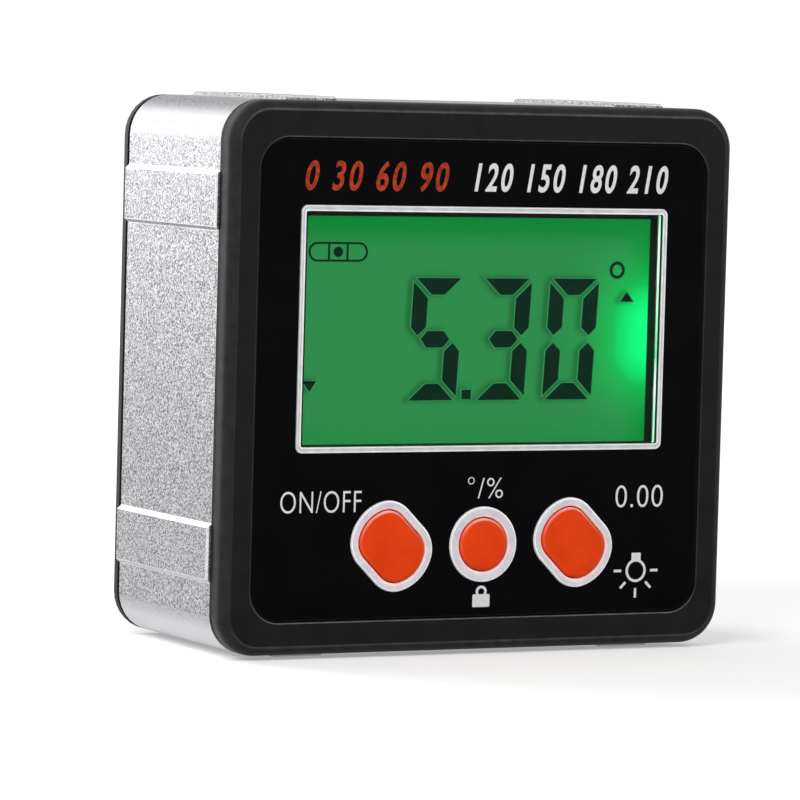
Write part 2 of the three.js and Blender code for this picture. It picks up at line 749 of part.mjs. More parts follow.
// Circuit board with its chips and screws
function addBoard() {
  const sideX = boardWidth / 2;
  const lowX = columnReach - (middle - boardBottom);
  const highX = columnReach - (boardTop - middle);
  const lowZ = middle - (columnReach - sideX);
  const highZ = middle + (columnReach - sideX);
  const outline = new THREE.Shape();
  outline.moveTo(-lowX, boardBottom);
  outline.lineTo(lowX, boardBottom);
  outline.lineTo(sideX, lowZ);
  outline.lineTo(sideX, highZ);
  outline.lineTo(highX, boardTop);
  outline.lineTo(-highX, boardTop);
  outline.lineTo(-sideX, highZ);
  outline.lineTo(-sideX, lowZ);
  outline.closePath();
  let board = slab(outline, boardFront, boardBack);
  standoffs.forEach(([x, z], i) => {
    const hole = boardScrewDiameter / 2 + screwClearance;
    board = board.subtract(bar(hole, boardFront - overrun, boardBack + overrun, x, z));
    const screw = join(
      bar(boardScrewHeadDiameter / 2, boardBack, boardBack + boardScrewHeadHeight, x, z),
      bar(boardScrewDiameter / 2, boardScrewTip, boardBack + boardScrewHeadHeight / 2, x, z),
    );
    add(`board_screw_${cornerNames[i]}`, screw, 'steel');
  });
  add('circuit_board', board, 'boardGreen');

  const half = sensorWidth / 2;
  const sensorZ = middle + sensorRise;
  const sensorBack = boardBack + sensorThickness;
  const [sensorLeft, sensorRight] = [sensorX - half, sensorX + half];
  const sensor = block(sensorLeft, sensorRight, boardBack, sensorBack, sensorZ - half, sensorZ + half);
  add('tilt_sensor', sensor, 'chipBlack');

  const profile = [];
  for (let step = 0; step <= domeSteps; step += 1) {
    const angle = (step / domeSteps) * Math.PI / 2;
    profile.push(new THREE.Vector2(controllerRadius * Math.cos(angle), controllerHeight * Math.sin(angle)));
  }
  profile.unshift(new THREE.Vector2(0, 0));
  profile[profile.length - 1].x = 0;
  const dome = new THREE.LatheGeometry(profile, smallSides);
  dome.translate(controllerX, boardBack, middle - controllerDrop);
  add('controller_chip', toSolid(dome), 'chipBlack');
}

// Rear cover: a rim flush with the case, a groove, a spigot into the sleeve and the battery tray
function addRearCover() {
  const rim = roundRect(caseWidth, caseHeight, caseCorner, 0, middle);
  const groovedWidth = caseWidth - 2 * grooveIn;
  const groovedHeight = caseHeight - 2 * grooveIn;
  const grooved = roundRect(groovedWidth, groovedHeight, caseCorner - grooveIn, 0, middle);
  const spigotWidth = innerWidth - 2 * spigotClearance;
  const spigotHeight = innerHeight - 2 * spigotClearance;
  const spigotCorner = innerCorner - spigotClearance;
  const spigot = roundRect(spigotWidth, spigotHeight, spigotCorner, 0, middle);
  spigot.holes.push(roundRect(
    spigotWidth - 2 * spigotWall,
    spigotHeight - 2 * spigotWall,
    spigotCorner - spigotWall,
    0,
    middle,
  ));
  let cover = join(
    softSlab(rim, back - rimDepth, back, rimEdge, rimEdge, true),
    slab(grooved, frameBack, back - rimDepth / 2),
    slab(spigot, coverSpigotFront, back - rimDepth, coarseSteps),
    block(
      -trayOuterWidth / 2,
      trayOuterWidth / 2,
      trayFront,
      back - rimDepth,
      middle - trayOuterHeight / 2,
      middle + trayOuterHeight / 2,
    ),
  );
  for (const [sx, sz] of corners) {
    const z = middle + sz * screwRise;
    const boss = bar(bossRadius, coverBossFront, back - rimDepth, sx * screwX, z, circleSides);
    cover = cover.add(boss);
  }
  const opening = roundRect(
    doorWidth + 2 * doorClearance,
    doorHeight + 2 * doorClearance,
    doorCorner + doorClearance,
    0,
    middle,
  );
  cover = cut(
    cover,
    slab(opening, trayRim, back + overrun),
    block(
      -trayInnerWidth / 2,
      trayInnerWidth / 2,
      trayInside,
      back + overrun,
      middle - trayInnerHeight / 2,
      middle + trayInnerHeight / 2,
    ),
    bar(dishRadius, back - dishDepth, back + overrun, 0, doorTop, circleSides),
  );
  for (const sign of [-1, 1]) {
    const x = sign * doorTabSpread;
    const half = doorTabWidth / 2 + doorTabPlay;
    const sweep = Math.hypot(back - doorTabFront, doorTabReach) + doorTabPlay;
    const wallBottom = middle - trayOuterHeight / 2 - overrun;
    const wallTop = middle - trayInnerHeight / 2 + overrun;
    cover = cut(
      cover,
      block(x - half, x + half, back - sweep, frameBack, wallBottom, wallTop),
      block(x - half, x + half, back - sweep, doorInside, doorBottom - doorClearance, wallTop),
    );
  }
  for (const [sx, sz] of corners) {
    const [x, z] = [sx * screwX, middle + sz * screwRise];
    const headSeat = back - caseScrewSink - caseScrewHeadHeight;
    cover = cut(
      cover,
      bar(caseScrewDiameter / 2 + screwClearance, coverBossFront - overrun, back + overrun, x, z),
      bar(caseScrewHeadDiameter / 2 + screwClearance, headSeat, back + overrun, x, z, circleSides),
    );
  }
  for (const rise of [cellRise, -cellRise]) {
    const half = contactTailWidth / 2 + contactClearance;
    const wallX = -trayInnerWidth / 2;
    const slotRight = wallX + contactThickness + contactClearance;
    const z = middle + rise;
    const slot = block(wallX, slotRight, trayFront - overrun, trayInside + overrun, z - half, z + half);
    cover = cover.subtract(slot);
  }
  add('rear_cover', cover, 'blackPlastic');
}

// Screws from the back through cover, sleeve columns and into the bezel's bosses
function addCaseScrews() {
  corners.forEach(([sx, sz], i) => {
    const [x, z] = [sx * screwX, middle + sz * screwRise];
    const headBack = back - caseScrewSink;
    const headFront = headBack - caseScrewHeadHeight;
    const long = screwSlotLength / 2;
    const thin = screwSlotWidth / 2;
    const slotFront = headBack - screwSlotDepth;
    const screw = cut(
      join(
        bar(caseScrewHeadDiameter / 2, headFront, headBack, x, z),
        bar(caseScrewDiameter / 2, caseScrewTip, slotFront, x, z),
      ),
      block(x - long, x + long, slotFront, back, z - thin, z + thin),
      block(x - thin, x + thin, slotFront, back, z - long, z + long),
    );
    add(`case_screw_${cornerNames[i]}`, screw, 'steel');
  });
}

// Battery door with its hooks, a latch tongue, a finger dish and a ribbed grip
function addBatteryDoor() {
  let door = slab(roundRect(doorWidth, doorHeight, doorCorner, 0, middle), doorInside, back);
  for (const sign of [-1, 1]) {
    const left = sign * doorTabSpread - doorTabWidth / 2;
    const right = sign * doorTabSpread + doorTabWidth / 2;
    const rootTop = doorBottom + doorTabRoot;
    door = join(
      door,
      block(left, right, doorTabFront, doorInside + doorThickness / 2, doorBottom, rootTop),
      block(left, right, doorTabFront, doorTabBack, doorBottom - doorTabReach, rootTop),
    );
  }
  const tongueTop = middle + trayInnerHeight / 2 - latchGap;
  const tongueBottom = tongueTop - latchThickness;
  const tongue = block(
    -latchWidth / 2,
    latchWidth / 2,
    doorInside - latchLength,
    doorInside + doorThickness / 2,
    tongueBottom,
    tongueTop,
  );
  const gripTop = doorTop - gripDrop;
  const gripBottom = gripTop - gripHeight;
  door = cut(
    door.add(tongue),
    bar(dishRadius, back - dishDepth, back + overrun, 0, doorTop, circleSides),
    block(-gripWidth / 2, gripWidth / 2, back - gripDepth, back + overrun, gripBottom, gripTop),
  );
  for (let i = 0; i < gripRibCount; i += 1) {
    const z = gripTop - gripHeight / 2 + (i - (gripRibCount - 1) / 2) * gripRibPitch;
    const half = gripRibWidth / 2;
    const ribFront = doorInside + doorThickness / 2;
    door = door.add(block(-gripWidth / 2, gripWidth / 2, ribFront, back, z - half, z + half));
  }
  add('battery_door', door, 'blackPlastic');
}

// A cell with its nub to the left or to the right
function cell(towards, z) {
  const radius = cellDiameter / 2;
  const shoulder = cellLength - cellNubLength;
  const profile = [
    [0, 0],
    [radius - cellEdge, 0],
    [radius, cellEdge],
    [radius, shoulder - cellEdge],
    [radius - cellEdge, shoulder],
    [cellNubDiameter / 2, shoulder],
    [cellNubDiameter / 2, cellLength],
    [0, cellLength],
  ].map(([r, along]) => new THREE.Vector2(r, along));
  const geometry = new THREE.LatheGeometry(profile, circleSides);
  const flat = trayInnerWidth / 2 - contactThickness - cellEndGap;
  geometry.rotateZ(-towards * Math.PI / 2);
  geometry.translate(towards * (flat - cellLength), cellY, z);
  return toSolid(geometry);
}

// A cone-shaped coil spring along X, wide at its plate and narrow at the cell.
// It prints the least gap between its turns.
function spring(towards, z) {
  const steps = Math.round(springTurns * springStepsPerTurn);
  const wire = springWire / 2;
  const start = trayInnerWidth / 2 - contactThickness - springGap - wire;
  const travel = springSpace - springWire - 2 * springGap;
  const centres = [];
  const positions = [];
  for (let i = 0; i <= steps; i += 1) {
    const share = i / steps;
    const angle = (i / springStepsPerTurn) * 2 * Math.PI;
    const radius = springOuterRadius + (springInnerRadius - springOuterRadius) * share;
    const x = -towards * (start - travel * share);
    const outward = new THREE.Vector3(0, Math.cos(angle), Math.sin(angle));
    const centre = outward.clone().multiplyScalar(radius).add(new THREE.Vector3(x, cellY, z));
    centres.push(centre);
    for (let k = 0; k < springSides; k += 1) {
      const turn = -(k / springSides) * 2 * Math.PI;
      const point = centre.clone().addScaledVector(outward, wire * Math.cos(turn));
      point.x += wire * Math.sin(turn);
      positions.push(point.x, point.y, point.z);
    }
  }
  const index = [];
  for (let i = 0; i < steps; i += 1) {
    for (let k = 0; k < springSides; k += 1) {
      const next = (k + 1) % springSides;
      const [a, b] = [i * springSides + k, i * springSides + next];
      const [c, d] = [a + springSides, b + springSides];
      index.push(a, b, d, a, d, c);
    }
  }
  const last = steps * springSides;
  for (let k = 1; k < springSides - 1; k += 1) {
    index.push(0, k + 1, k);
    index.push(last, last + k, last + k + 1);
  }
  let least = Infinity;
  for (let i = 0; i < centres.length; i += 1) {
    for (let j = i + springStepsPerTurn / 2; j < centres.length; j += 1) {
      least = Math.min(least, centres[i].distanceTo(centres[j]) - springWire);
    }
  }
  console.log(`spring: least gap to itself ${least.toFixed(2)} mm`);
  const geometry = new THREE.BufferGeometry();
  geometry.setAttribute('position', new THREE.Float32BufferAttribute(positions, 3));
  geometry.setIndex(index);
  return toSolid(geometry);
}

// The two cells, their springs and contact plates, and the leads to the board
function addPower() {
  const wallX = trayInnerWidth / 2;
  const upper = middle + cellRise;
  const lower = middle - cellRise;
  add('battery_upper', cell(1, upper), 'cellJacket');
  add('battery_lower', cell(-1, lower), 'cellJacket');
  add('battery_spring_upper', spring(1, upper), 'steel');
  add('battery_spring_lower', spring(-1, lower), 'steel');
  const half = contactWidth / 2;
  const linkLeft = wallX - contactThickness;
  const link = block(linkLeft, wallX, cellY - half, cellY + half, lower - half, upper + half);
  add('contact_plate_link', link, 'steel');
  const tailFront = trayFront - contactTailLength;
  const leads = [['upper', upper, 'blackLead'], ['lower', lower, 'redLead']];
  for (const [name, z, finish] of leads) {
    const plateRight = -wallX + contactThickness;
    const tailHalf = contactTailWidth / 2;
    const plate = join(
      block(-wallX, plateRight, cellY - half, cellY + half, z - half, z + half),
      block(-wallX, plateRight, tailFront, cellY, z - tailHalf, z + tailHalf),
    );
    add(`contact_plate_${name}`, plate, 'steel');
    const startX = -wallX + contactThickness / 2;
    const startY = tailFront - leadGap;
    const endY = boardBack + leadGap;
    const fall = startY - endY;
    const route = leadRouteShares.map(([across, down]) => (
      new THREE.Vector3(startX + across * leadReach, startY - down * fall, z)
    ));
    const path = new THREE.CatmullRomCurve3(route);
    const section = circle(leadDiameter / 2, 0, 0);
    const geometry = new THREE.ExtrudeGeometry(section, {
      steps: leadSteps,
      curveSegments: leadArcSteps,
      bevelEnabled: false,
      extrudePath: path,
    });
    add(`battery_lead_${name}`, toSolid(geometry), finish);
  }
}

addCaseFrame();
addFrontBezel();
addFacePanel();
addWindow();
buttonNames.forEach(addButton);
addDisplay();
addBoard();
addRearCover();
addCaseScrews();
addBatteryDoor();
addPower();

export default model;
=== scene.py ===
"""A digital inclinometer: its visible pieces, finishes, studio and camera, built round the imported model.

Sizes are in millimetres in the model's own frame: X to the right, Y to the back and Z up, with the
front facing -Y. A finished mesh is brought to metres once, when its object is made.
"""

import logging
import math
from dataclasses import dataclass
from enum import Enum

import bmesh
import bpy
import numpy as np
from mathutils import Matrix, Vector


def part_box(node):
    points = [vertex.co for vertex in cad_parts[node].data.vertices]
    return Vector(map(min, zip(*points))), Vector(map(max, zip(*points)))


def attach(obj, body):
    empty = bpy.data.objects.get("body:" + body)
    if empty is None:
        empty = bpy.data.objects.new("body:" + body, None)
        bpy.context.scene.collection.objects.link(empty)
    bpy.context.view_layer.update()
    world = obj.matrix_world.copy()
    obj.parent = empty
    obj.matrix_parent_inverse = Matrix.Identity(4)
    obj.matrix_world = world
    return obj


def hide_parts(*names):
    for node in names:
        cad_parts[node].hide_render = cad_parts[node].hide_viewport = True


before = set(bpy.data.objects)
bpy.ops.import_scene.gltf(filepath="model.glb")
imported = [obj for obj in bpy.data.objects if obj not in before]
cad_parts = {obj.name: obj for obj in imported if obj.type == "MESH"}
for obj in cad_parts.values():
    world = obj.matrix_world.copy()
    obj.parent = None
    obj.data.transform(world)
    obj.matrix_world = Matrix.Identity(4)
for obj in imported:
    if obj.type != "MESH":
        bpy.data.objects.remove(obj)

log = logging.getLogger("inclinometer")

MM = 0.001
HOUSING = "housing"
WELD = 0.0005
SHARP_ANGLE = math.radians(34)
FLAT_ANGLE = math.radians(0.4)
TO_METRES = Matrix.Scale(MM, 4)
CORNER_STEPS = 14
ROUND_STEPS = 96
SHARPEST_CORNER = 0.01
SHARPEST_MITRE = 0.4
PRINT_OVERLAP = 0.002
PANEL_GAP = 0.05

Colour = tuple[float, float, float, float]
Point = tuple[float, float]
Place = tuple[float, float, float]
Outline = list[Point]
Ring = list[bmesh.types.BMVert]
Socket = bpy.types.NodeSocket


def written(red: float, green: float, blue: float) -> Colour:
    """Turns a colour as a screen shows it into the linear colour that a shader takes.

    Args:
        red: Red from 0 to 255.
        green: Green from 0 to 255.
        blue: Blue from 0 to 255.

    Returns:
        The linear colour with an alpha of 1.
    """
    shares = [part / 255 for part in (red, green, blue)]
    linear = [s / 12.92 if s <= 0.04045 else ((s + 0.055) / 1.055) ** 2.4 for s in shares]
    return (linear[0], linear[1], linear[2], 1.0)


# Outlines, seen from the front as (x, z)


@dataclass(frozen=True)
class Span:
    """The box round a piece."""

    x_low: float
    x_high: float
    y_low: float
    y_high: float
    z_low: float
    z_high: float

    @property
    def x(self) -> float:
        """The middle across."""
        return (self.x_low + self.x_high) / 2

    @property
    def z(self) -> float:
        """The middle upwards."""
        return (self.z_low + self.z_high) / 2


def span(node: str) -> Span:
    """Looks up where a CAD node lies.

    Args:
        node: The node's name.

    Returns:
        Its box in millimetres.
    """
    low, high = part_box(node)
    return Span(*(edge / MM for pair in zip(low, high) for edge in pair))


def arc(x: float, z: float, radius: float, start: float, end: float, steps: int) -> Outline:
    """Makes the points of an arc.

    Args:
        x: The centre across.
        z: The centre upwards.
        radius: The arc's radius.
        start: The first angle in radians.
        end: The last angle in radians.
        steps: How many straight steps the arc has.

    Returns:
        The points, both ends included.
    """
    angles = [start + (end - start) * i / steps for i in range(steps + 1)]
    return [(x + radius * math.cos(a), z + radius * math.sin(a)) for a in angles]


@dataclass(frozen=True)
class Rounded:
    """A rectangle with rounded corners."""

    x_low: float
    x_high: float
    z_low: float
    z_high: float
    corner: float

    @classmethod
    def about(cls, box: Span, corner: float, spare: float = 0.0) -> "Rounded":
        """Lays the rectangle round a box.

        Args:
            box: The box.
            corner: The corners' radius.
            spare: How far outside the box it lies.

        Returns:
            The rectangle.
        """
        return cls(box.x_low - spare, box.x_high + spare, box.z_low - spare, box.z_high + spare, corner)

    def outline(self, inset: float = 0.0) -> Outline:
        """Draws the rectangle.

        Args:
            inset: How far it is drawn inside its true size.

        Returns:
            Its points, from the lower right corner and anticlockwise.
        """
        radius = max(self.corner - inset, SHARPEST_CORNER)
        left = self.x_low + inset + radius
        right = self.x_high - inset - radius
        bottom = self.z_low + inset + radius
        top = self.z_high - inset - radius
        quarter = math.pi / 2
        points: Outline = []
        for turn, (x, z) in enumerate(((right, bottom), (right, top), (left, top), (left, bottom)), -1):
            points += arc(x, z, radius, turn * quarter, (turn + 1) * quarter, CORNER_STEPS)
        return points


@dataclass(frozen=True)
class Round:
    """A circle."""

    x: float
    z: float
    radius: float

    def outline(self, inset: float = 0.0) -> Outline:
        """Draws the circle.

        Args:
            inset: How far it is drawn inside its true size.

        Returns:
            Its points.
        """
        return arc(self.x, self.z, self.radius - inset, 0, 2 * math.pi, ROUND_STEPS)[:-1]


@dataclass(frozen=True)
class Flatted:
    """A circle with two flats and blended corners, its long way falling to the right."""

    x: float
    z: float
    radius: float = 4.5
    flat: float = 3.74
    blend: float = 3.0

    def outline(self, inset: float = 0.0) -> Outline:
        """Draws the flatted circle.

        Args:
            inset: How far it is drawn inside its true size.

        Returns:
            Its points.
        """
        radius = self.radius - inset
        blend = self.blend - inset
        across = self.flat - self.blend
        along = math.sqrt((self.radius - self.blend) ** 2 - across**2)
        lean = math.atan2(across, along)
        steps = ROUND_STEPS // 6
        quarter = math.pi / 2
        points: Outline = []
        for half in (0, math.pi):
            turn = half - math.pi / 4
            c, s = math.cos(turn), math.sin(turn)
            low = (self.x + along * c + across * s, self.z + along * s - across * c)
            high = (self.x + along * c - across * s, self.z + along * s + across * c)
            points += arc(*low, blend, turn - quarter, turn - lean, steps)[:-1]
            points += arc(self.x, self.z, radius, turn - lean, turn + lean, steps)[:-1]
            points += arc(*high, blend, turn + lean, turn + quarter, steps)
        return points


Shape = Rounded | Round | Flatted


def grown(outline: Outline, by: float) -> Outline:
    """Moves each side of a small straight-sided outline outwards.

    Args:
        outline: The points, anticlockwise.
        by: How far each side moves.

    Returns:
        The points of the larger outline.
    """
    points = [Vector(p) for p in outline]
    if sum(a.x * b.y - b.x * a.y for a, b in zip(points, points[1:] + points[:1])) < 0:
        points.reverse()
    result = []
    for i, here in enumerate(points):
        before = (here - points[i - 1]).normalized()
        after = (points[(i + 1) % len(points)] - here).normalized()
        out_before = Vector((before.y, -before.x))
        out_after = Vector((after.y, -after.x))
        mitre = (out_before + out_after).normalized()
        reach = by / max(mitre.dot(out_before), SHARPEST_MITRE)
        result.append(tuple(here + mitre * reach))
    return result


# Materials


class Nodes:
    """A node tree, with short calls for what the trees share."""

    def __init__(self, tree: bpy.types.NodeTree) -> None:
        """Takes a tree and empties it.

        Args:
            tree: The tree.
        """
        self.tree = tree
        self.tree.nodes.clear()

    def join(self, source: Socket, target: Socket) -> None:
        """Links two sockets."""
        self.tree.links.new(source, target)

    def node(
        self, kind: str, inputs: dict[object, object] | None = None, **settings: object,
    ) -> bpy.types.Node:
        """Adds a node and sets or links its inputs.

        Args:
            kind: Blender's name of the node.
            inputs: Values or sockets by input name or number.
            settings: The node's own settings.

        Returns:
            The node.
        """
        made = self.tree.nodes.new(kind)
        for key, value in settings.items():
            setattr(made, key, value)
        for key, value in (inputs or {}).items():
            if isinstance(value, Socket):
                self.join(value, made.inputs[key])
            else:
                made.inputs[key].default_value = value
        return made

    def spread(self, factor: Socket, low: float, high: float, to: Point = (0.0, 1.0)) -> Socket:
        """Maps a range of a factor to another range, and clamps it.

        Args:
            factor: The factor.
            low: The value that becomes the first of to.
            high: The value that becomes the second of to.
            to: The range it becomes.

        Returns:
            The mapped factor.
        """
        ends = {"Value": factor, "From Min": low, "From Max": high, "To Min": to[0], "To Max": to[1]}
        return self.node("ShaderNodeMapRange", ends, clamp=True).outputs["Result"]

    def maths(self, operation: str, first: Socket, second: object = 0.0) -> Socket:
        """Works out a number from one or two.

        Args:
            operation: Blender's name of the sum.
            first: The first number's socket.
            second: The second number, or its socket.

        Returns:
            The result.
        """
        return self.node("ShaderNodeMath", {0: first, 1: second}, operation=operation).outputs[0]

    def seen(self) -> Socket:
        """Tells the rays that see a surface from those that it only lights.

        Returns:
            1 for a camera, glossy or transmission ray, and else 0.
        """
        rays = self.node("ShaderNodeLightPath").outputs
        found = self.maths("MAXIMUM", rays["Is Camera Ray"], rays["Is Glossy Ray"])
        return self.maths("MAXIMUM", found, rays["Is Transmission Ray"])


class Surface(Nodes):
    """A material's node tree, with short calls for what the finishes share."""

    def __init__(self, name: str) -> None:
        """Starts an empty material.

        Args:
            name: The material's name.
        """
        self.material = bpy.data.materials.new(name)
        self.material.use_nodes = True
        super().__init__(self.material.node_tree)
        self.output = self.node("ShaderNodeOutputMaterial")
        self.place = self.node("ShaderNodeTexCoord").outputs["Object"]

    def end(self, shader: bpy.types.Node) -> None:
        """Makes a shader the one that the material shows."""
        self.join(shader.outputs[0], self.output.inputs["Surface"])

    def principled(
        self, colour: Socket, roughness: Socket, normal: Socket, metallic: float = 0.0, specular: float = 0.5,
    ) -> bpy.types.Node:
        """Ends the tree with the shader of a solid surface.

        Args:
            colour: Its colour.
            roughness: Its roughness.
            normal: Its bent normal.
            metallic: How metallic it is, from 0 to 1.
            specular: How strongly it shines, 0.5 for an ordinary solid.

        Returns:
            The shader.
        """
        inputs = {"Base Color": colour, "Roughness": roughness, "Normal": normal, "Metallic": metallic}
        shader = self.node("ShaderNodeBsdfPrincipled", inputs | {"Specular IOR Level": specular})
        self.end(shader)
        return shader

    def across_and_up(self) -> tuple[Socket, Socket]:
        """Gives the object coordinates across and upwards.

        Returns:
            The sockets of X and Z.
        """
        apart = self.node("ShaderNodeSeparateXYZ", {0: self.place})
        return apart.outputs["X"], apart.outputs["Z"]

    def noise(self, size: float, detail: float = 2.0, stretch: Point = (1.0, 1.0)) -> Socket:
        """Adds a noise pattern on object coordinates.

        Args:
            size: The size of one lump in millimetres.
            detail: How many finer layers it has.
            stretch: How much finer it is along X and along Z.

        Returns:
            The pattern, from 0 to 1 about 0.5.
        """
        source = self.place
        if stretch != (1.0, 1.0):
            scale = (stretch[0], 1.0, stretch[1])
            source = self.node("ShaderNodeMapping", {"Scale": scale, "Vector": source}).outputs["Vector"]
        inputs = {"Scale": 1 / (size * MM), "Detail": detail, "Vector": source}
        return self.node("ShaderNodeTexNoise", inputs).outputs["Fac"]

    def patchy(self, size: float, to: Point = (0.0, 1.0), detail: float = 2.0) -> Socket:
        """Adds patches: a noise pattern whose middle range is spread over another range.

        Args:
            size: The size of one patch in millimetres.
            to: The range.
            detail: How many finer layers the pattern has.

        Returns:
            The patches.
        """
        return self.spread(self.noise(size, detail), 0.3, 0.7, to)

    def mix(self, factor: Socket, low: object, high: object) -> Socket:
        """Mixes two colours.

        Args:
            factor: How much of the second colour there is.
            low: The first colour, or a socket that gives it.
            high: The second colour, or a socket that gives it.

        Returns:
            The mixed colour.
        """
        return self.node("ShaderNodeMix", {"Factor": factor, 6: low, 7: high}, data_type="RGBA").outputs[2]

    def ramp(self, along: Socket, start: float, end: float, to: Point = (0.0, 1.0)) -> Socket:
        """Spreads a stretch of a coordinate, in millimetres, over a range."""
        return self.spread(along, start * MM, end * MM, to)

    def times(self, first: Socket, second: object) -> Socket:
        """Multiplies two numbers."""
        return self.maths("MULTIPLY", first, second)

    def bump(self, height: Socket, strength: float, depth: float) -> Socket:
        """Adds relief.

        Args:
            height: The relief's height, from 0 to 1.
            strength: How strong it is, from 0 to 1.
            depth: How deep the relief is in millimetres.

        Returns:
            The bent normal.
        """
        inputs = {"Strength": strength, "Distance": depth * MM, "Height": height}
        return self.node("ShaderNodeBump", inputs).outputs["Normal"]

    def attribute(self, name: str) -> Socket:
        """Reads a number that the mesh carries."""
        return self.node("ShaderNodeAttribute", attribute_name=name).outputs["Fac"]


@dataclass(frozen=True)
class Finish:
    """What a piece is made of: its name and the slot that it belongs to."""

    name: str
    slot: str

    def material(self) -> bpy.types.Material:
        """Gives the finish's material, made at its first use.

        Returns:
            The material.
        """
        found = bpy.data.materials.get(self.name)
        if found:
            return found
        surface = Surface(self.name)
        self.lay(surface)
        return surface.material

    def lay(self, surface: Surface) -> None:
        """Builds the finish's nodes; each kind of finish has its own."""
        raise NotImplementedError


@dataclass(frozen=True)
class Grained(Finish):
    """A solid finish with mottled colour, grained relief and, where given, a painted highlight along its
    edges.
    """

    dark: Colour = (0.1, 0.1, 0.1, 1.0)
    light: Colour = (0.2, 0.2, 0.2, 1.0)
    mottle: float = 1.2
    contrast: float = 0.18
    grain: float = 0.2
    relief: float = 0.3
    relief_depth: float = 0.02
    smooth: float = 0.35
    rough: float = 0.5
    metallic: float = 0.0
    specular: float = 0.5
    stretch: Point = (1.0, 1.0)
    # painted_highlight: the colour of the highlight painted along edges by the mesh's edge attribute;
    # highlight_patch: the size of its patches.
    painted_highlight: Colour | None = None
    highlight_patch: float = 1.1
    glow: float = 0.0

    def lay(self, surface: Surface) -> None:
        """Builds the nodes.

        Args:
            surface: The tree that they go into.
        """
        mottling = surface.noise(self.mottle, 3.0, self.stretch)
        tone = surface.spread(mottling, 0.5 - self.contrast, 0.5 + self.contrast)
        colour = surface.mix(tone, self.dark, self.light)
        # Painted highlight: the edge attribute mixes the lighter colour in, in patches.
        if self.painted_highlight:
            wear = surface.times(surface.attribute("edge"), surface.patchy(self.highlight_patch, (0.6, 1.0)))
            colour = surface.mix(wear, colour, self.painted_highlight)
        grain = surface.noise(self.grain, 2.0, self.stretch)
        roughness = surface.spread(grain, 0.25, 0.75, (self.smooth, self.rough))
        relief = surface.bump(grain, self.relief, self.relief_depth)
        shader = surface.principled(colour, roughness, relief, self.metallic, self.specular)
        if self.glow:
            surface.join(colour, shader.inputs["Emission Color"])
            shader.inputs["Emission Strength"].default_value = self.glow


@dataclass(frozen=True)
class Blasted(Finish):
    """Blasted aluminium with painted light: specks fainter near the top and smooth at the sides' ends, fading
    there into a flat painted highlight; a lighter bottom corner, a band of painted shade on the upper corner,
    and a painted shift from lighter low down to darker higher up.
    """

    dark: Colour = written(66, 66, 69)
    light: Colour = written(200, 200, 203)
    # foot_highlight: painted highlight, the smooth lighter colour of the bottom corner.
    foot_highlight: Colour = written(200, 200, 203)
    # crest_shade: painted shade, the darker band on the upper corner and the top face.
    crest_shade: Colour = written(84, 84, 86)
    speck: float = 0.17
    contrast: float = 0.2
    # highlight_tone: the flat tone of the painted highlight where the specks fade out.
    highlight_tone: float = 0.58
    corner_from: float = 23.2
    foot_top: float = 2.6
    smooth_from: float = 50.2
    crest_from: float = 52.2
    crest_to: float = 53.6
    crest_share: float = 0.26
    pale_from: float = 40.0
    pale_to: float = 50.0
    pale_grain: float = 0.66
    # painted_light_shift: painted light, the tone raised low down and lowered higher up.
    tone_from: float = 5.0
    tone_to: float = 16.0
    painted_light_shift: Point = (0.04, -0.05)
    fade: float = 1.6
    relief: float = 0.5
    relief_depth: float = 0.03
    smooth: float = 0.36
    rough: float = 0.5
    metallic: float = 0.85

    def lay(self, surface: Surface) -> None:
        """Builds the nodes.

        Args:
            surface: The tree that they go into.
        """
        off, fade = (1.0, 0.0), self.fade
        x, height = surface.across_and_up()
        outer = surface.ramp(surface.maths("ABSOLUTE", x), self.corner_from, self.corner_from + fade)
        # Painted highlight: the bottom corner is smooth and takes the lighter foot colour.
        foot_highlight = surface.times(surface.ramp(height, self.foot_top, self.foot_top + fade, off), outer)
        crest = surface.ramp(height, self.crest_from, self.crest_from + fade / 2)
        under_bands = surface.ramp(height, self.crest_to, self.crest_to + fade / 20, off)
        # Painted highlight: on the upper corner the specks give way to the flat highlight tone.
        shoulder = surface.ramp(height, self.smooth_from - fade / 2, self.smooth_from)
        shoulder = surface.times(surface.maths("SUBTRACT", shoulder, crest), outer)
        grainy = surface.spread(surface.maths("MAXIMUM", foot_highlight, shoulder), 0.0, 1.0, off)
        # Painted lighter top: towards the top of the sides the specks fade towards the highlight tone.
        raised = surface.ramp(height, self.pale_from, self.pale_to)
        fainter = surface.spread(surface.times(raised, outer), 0.0, 1.0, (1.0, self.pale_grain))
        grainy = surface.times(grainy, fainter)
        grain = surface.noise(self.speck, 1.0)
        specks = surface.spread(grain, 0.5 - self.contrast, 0.5 + self.contrast)
        off_highlight_tone = surface.maths("SUBTRACT", specks, self.highlight_tone)
        # Painted light: the sides are a little lighter low down and darker higher up.
        shift = surface.ramp(height, self.tone_from, self.tone_to, self.painted_light_shift)
        shifted = surface.times(surface.maths("ADD", off_highlight_tone, shift), grainy)
        tone = surface.maths("ADD", shifted, self.highlight_tone)
        colour = surface.mix(tone, self.dark, self.light)
        colour = surface.mix(foot_highlight, colour, self.foot_highlight)
        # Painted shade: the crest band darkens towards crest_shade.
        shade = surface.times(surface.times(crest, under_bands), self.crest_share)
        colour = surface.mix(shade, colour, self.crest_shade)
        roughness = surface.spread(specks, 0.0, 1.0, (self.rough, self.smooth))
        relief = surface.bump(surface.times(grain, grainy), self.relief, self.relief_depth)
        surface.principled(colour, roughness, relief, self.metallic)


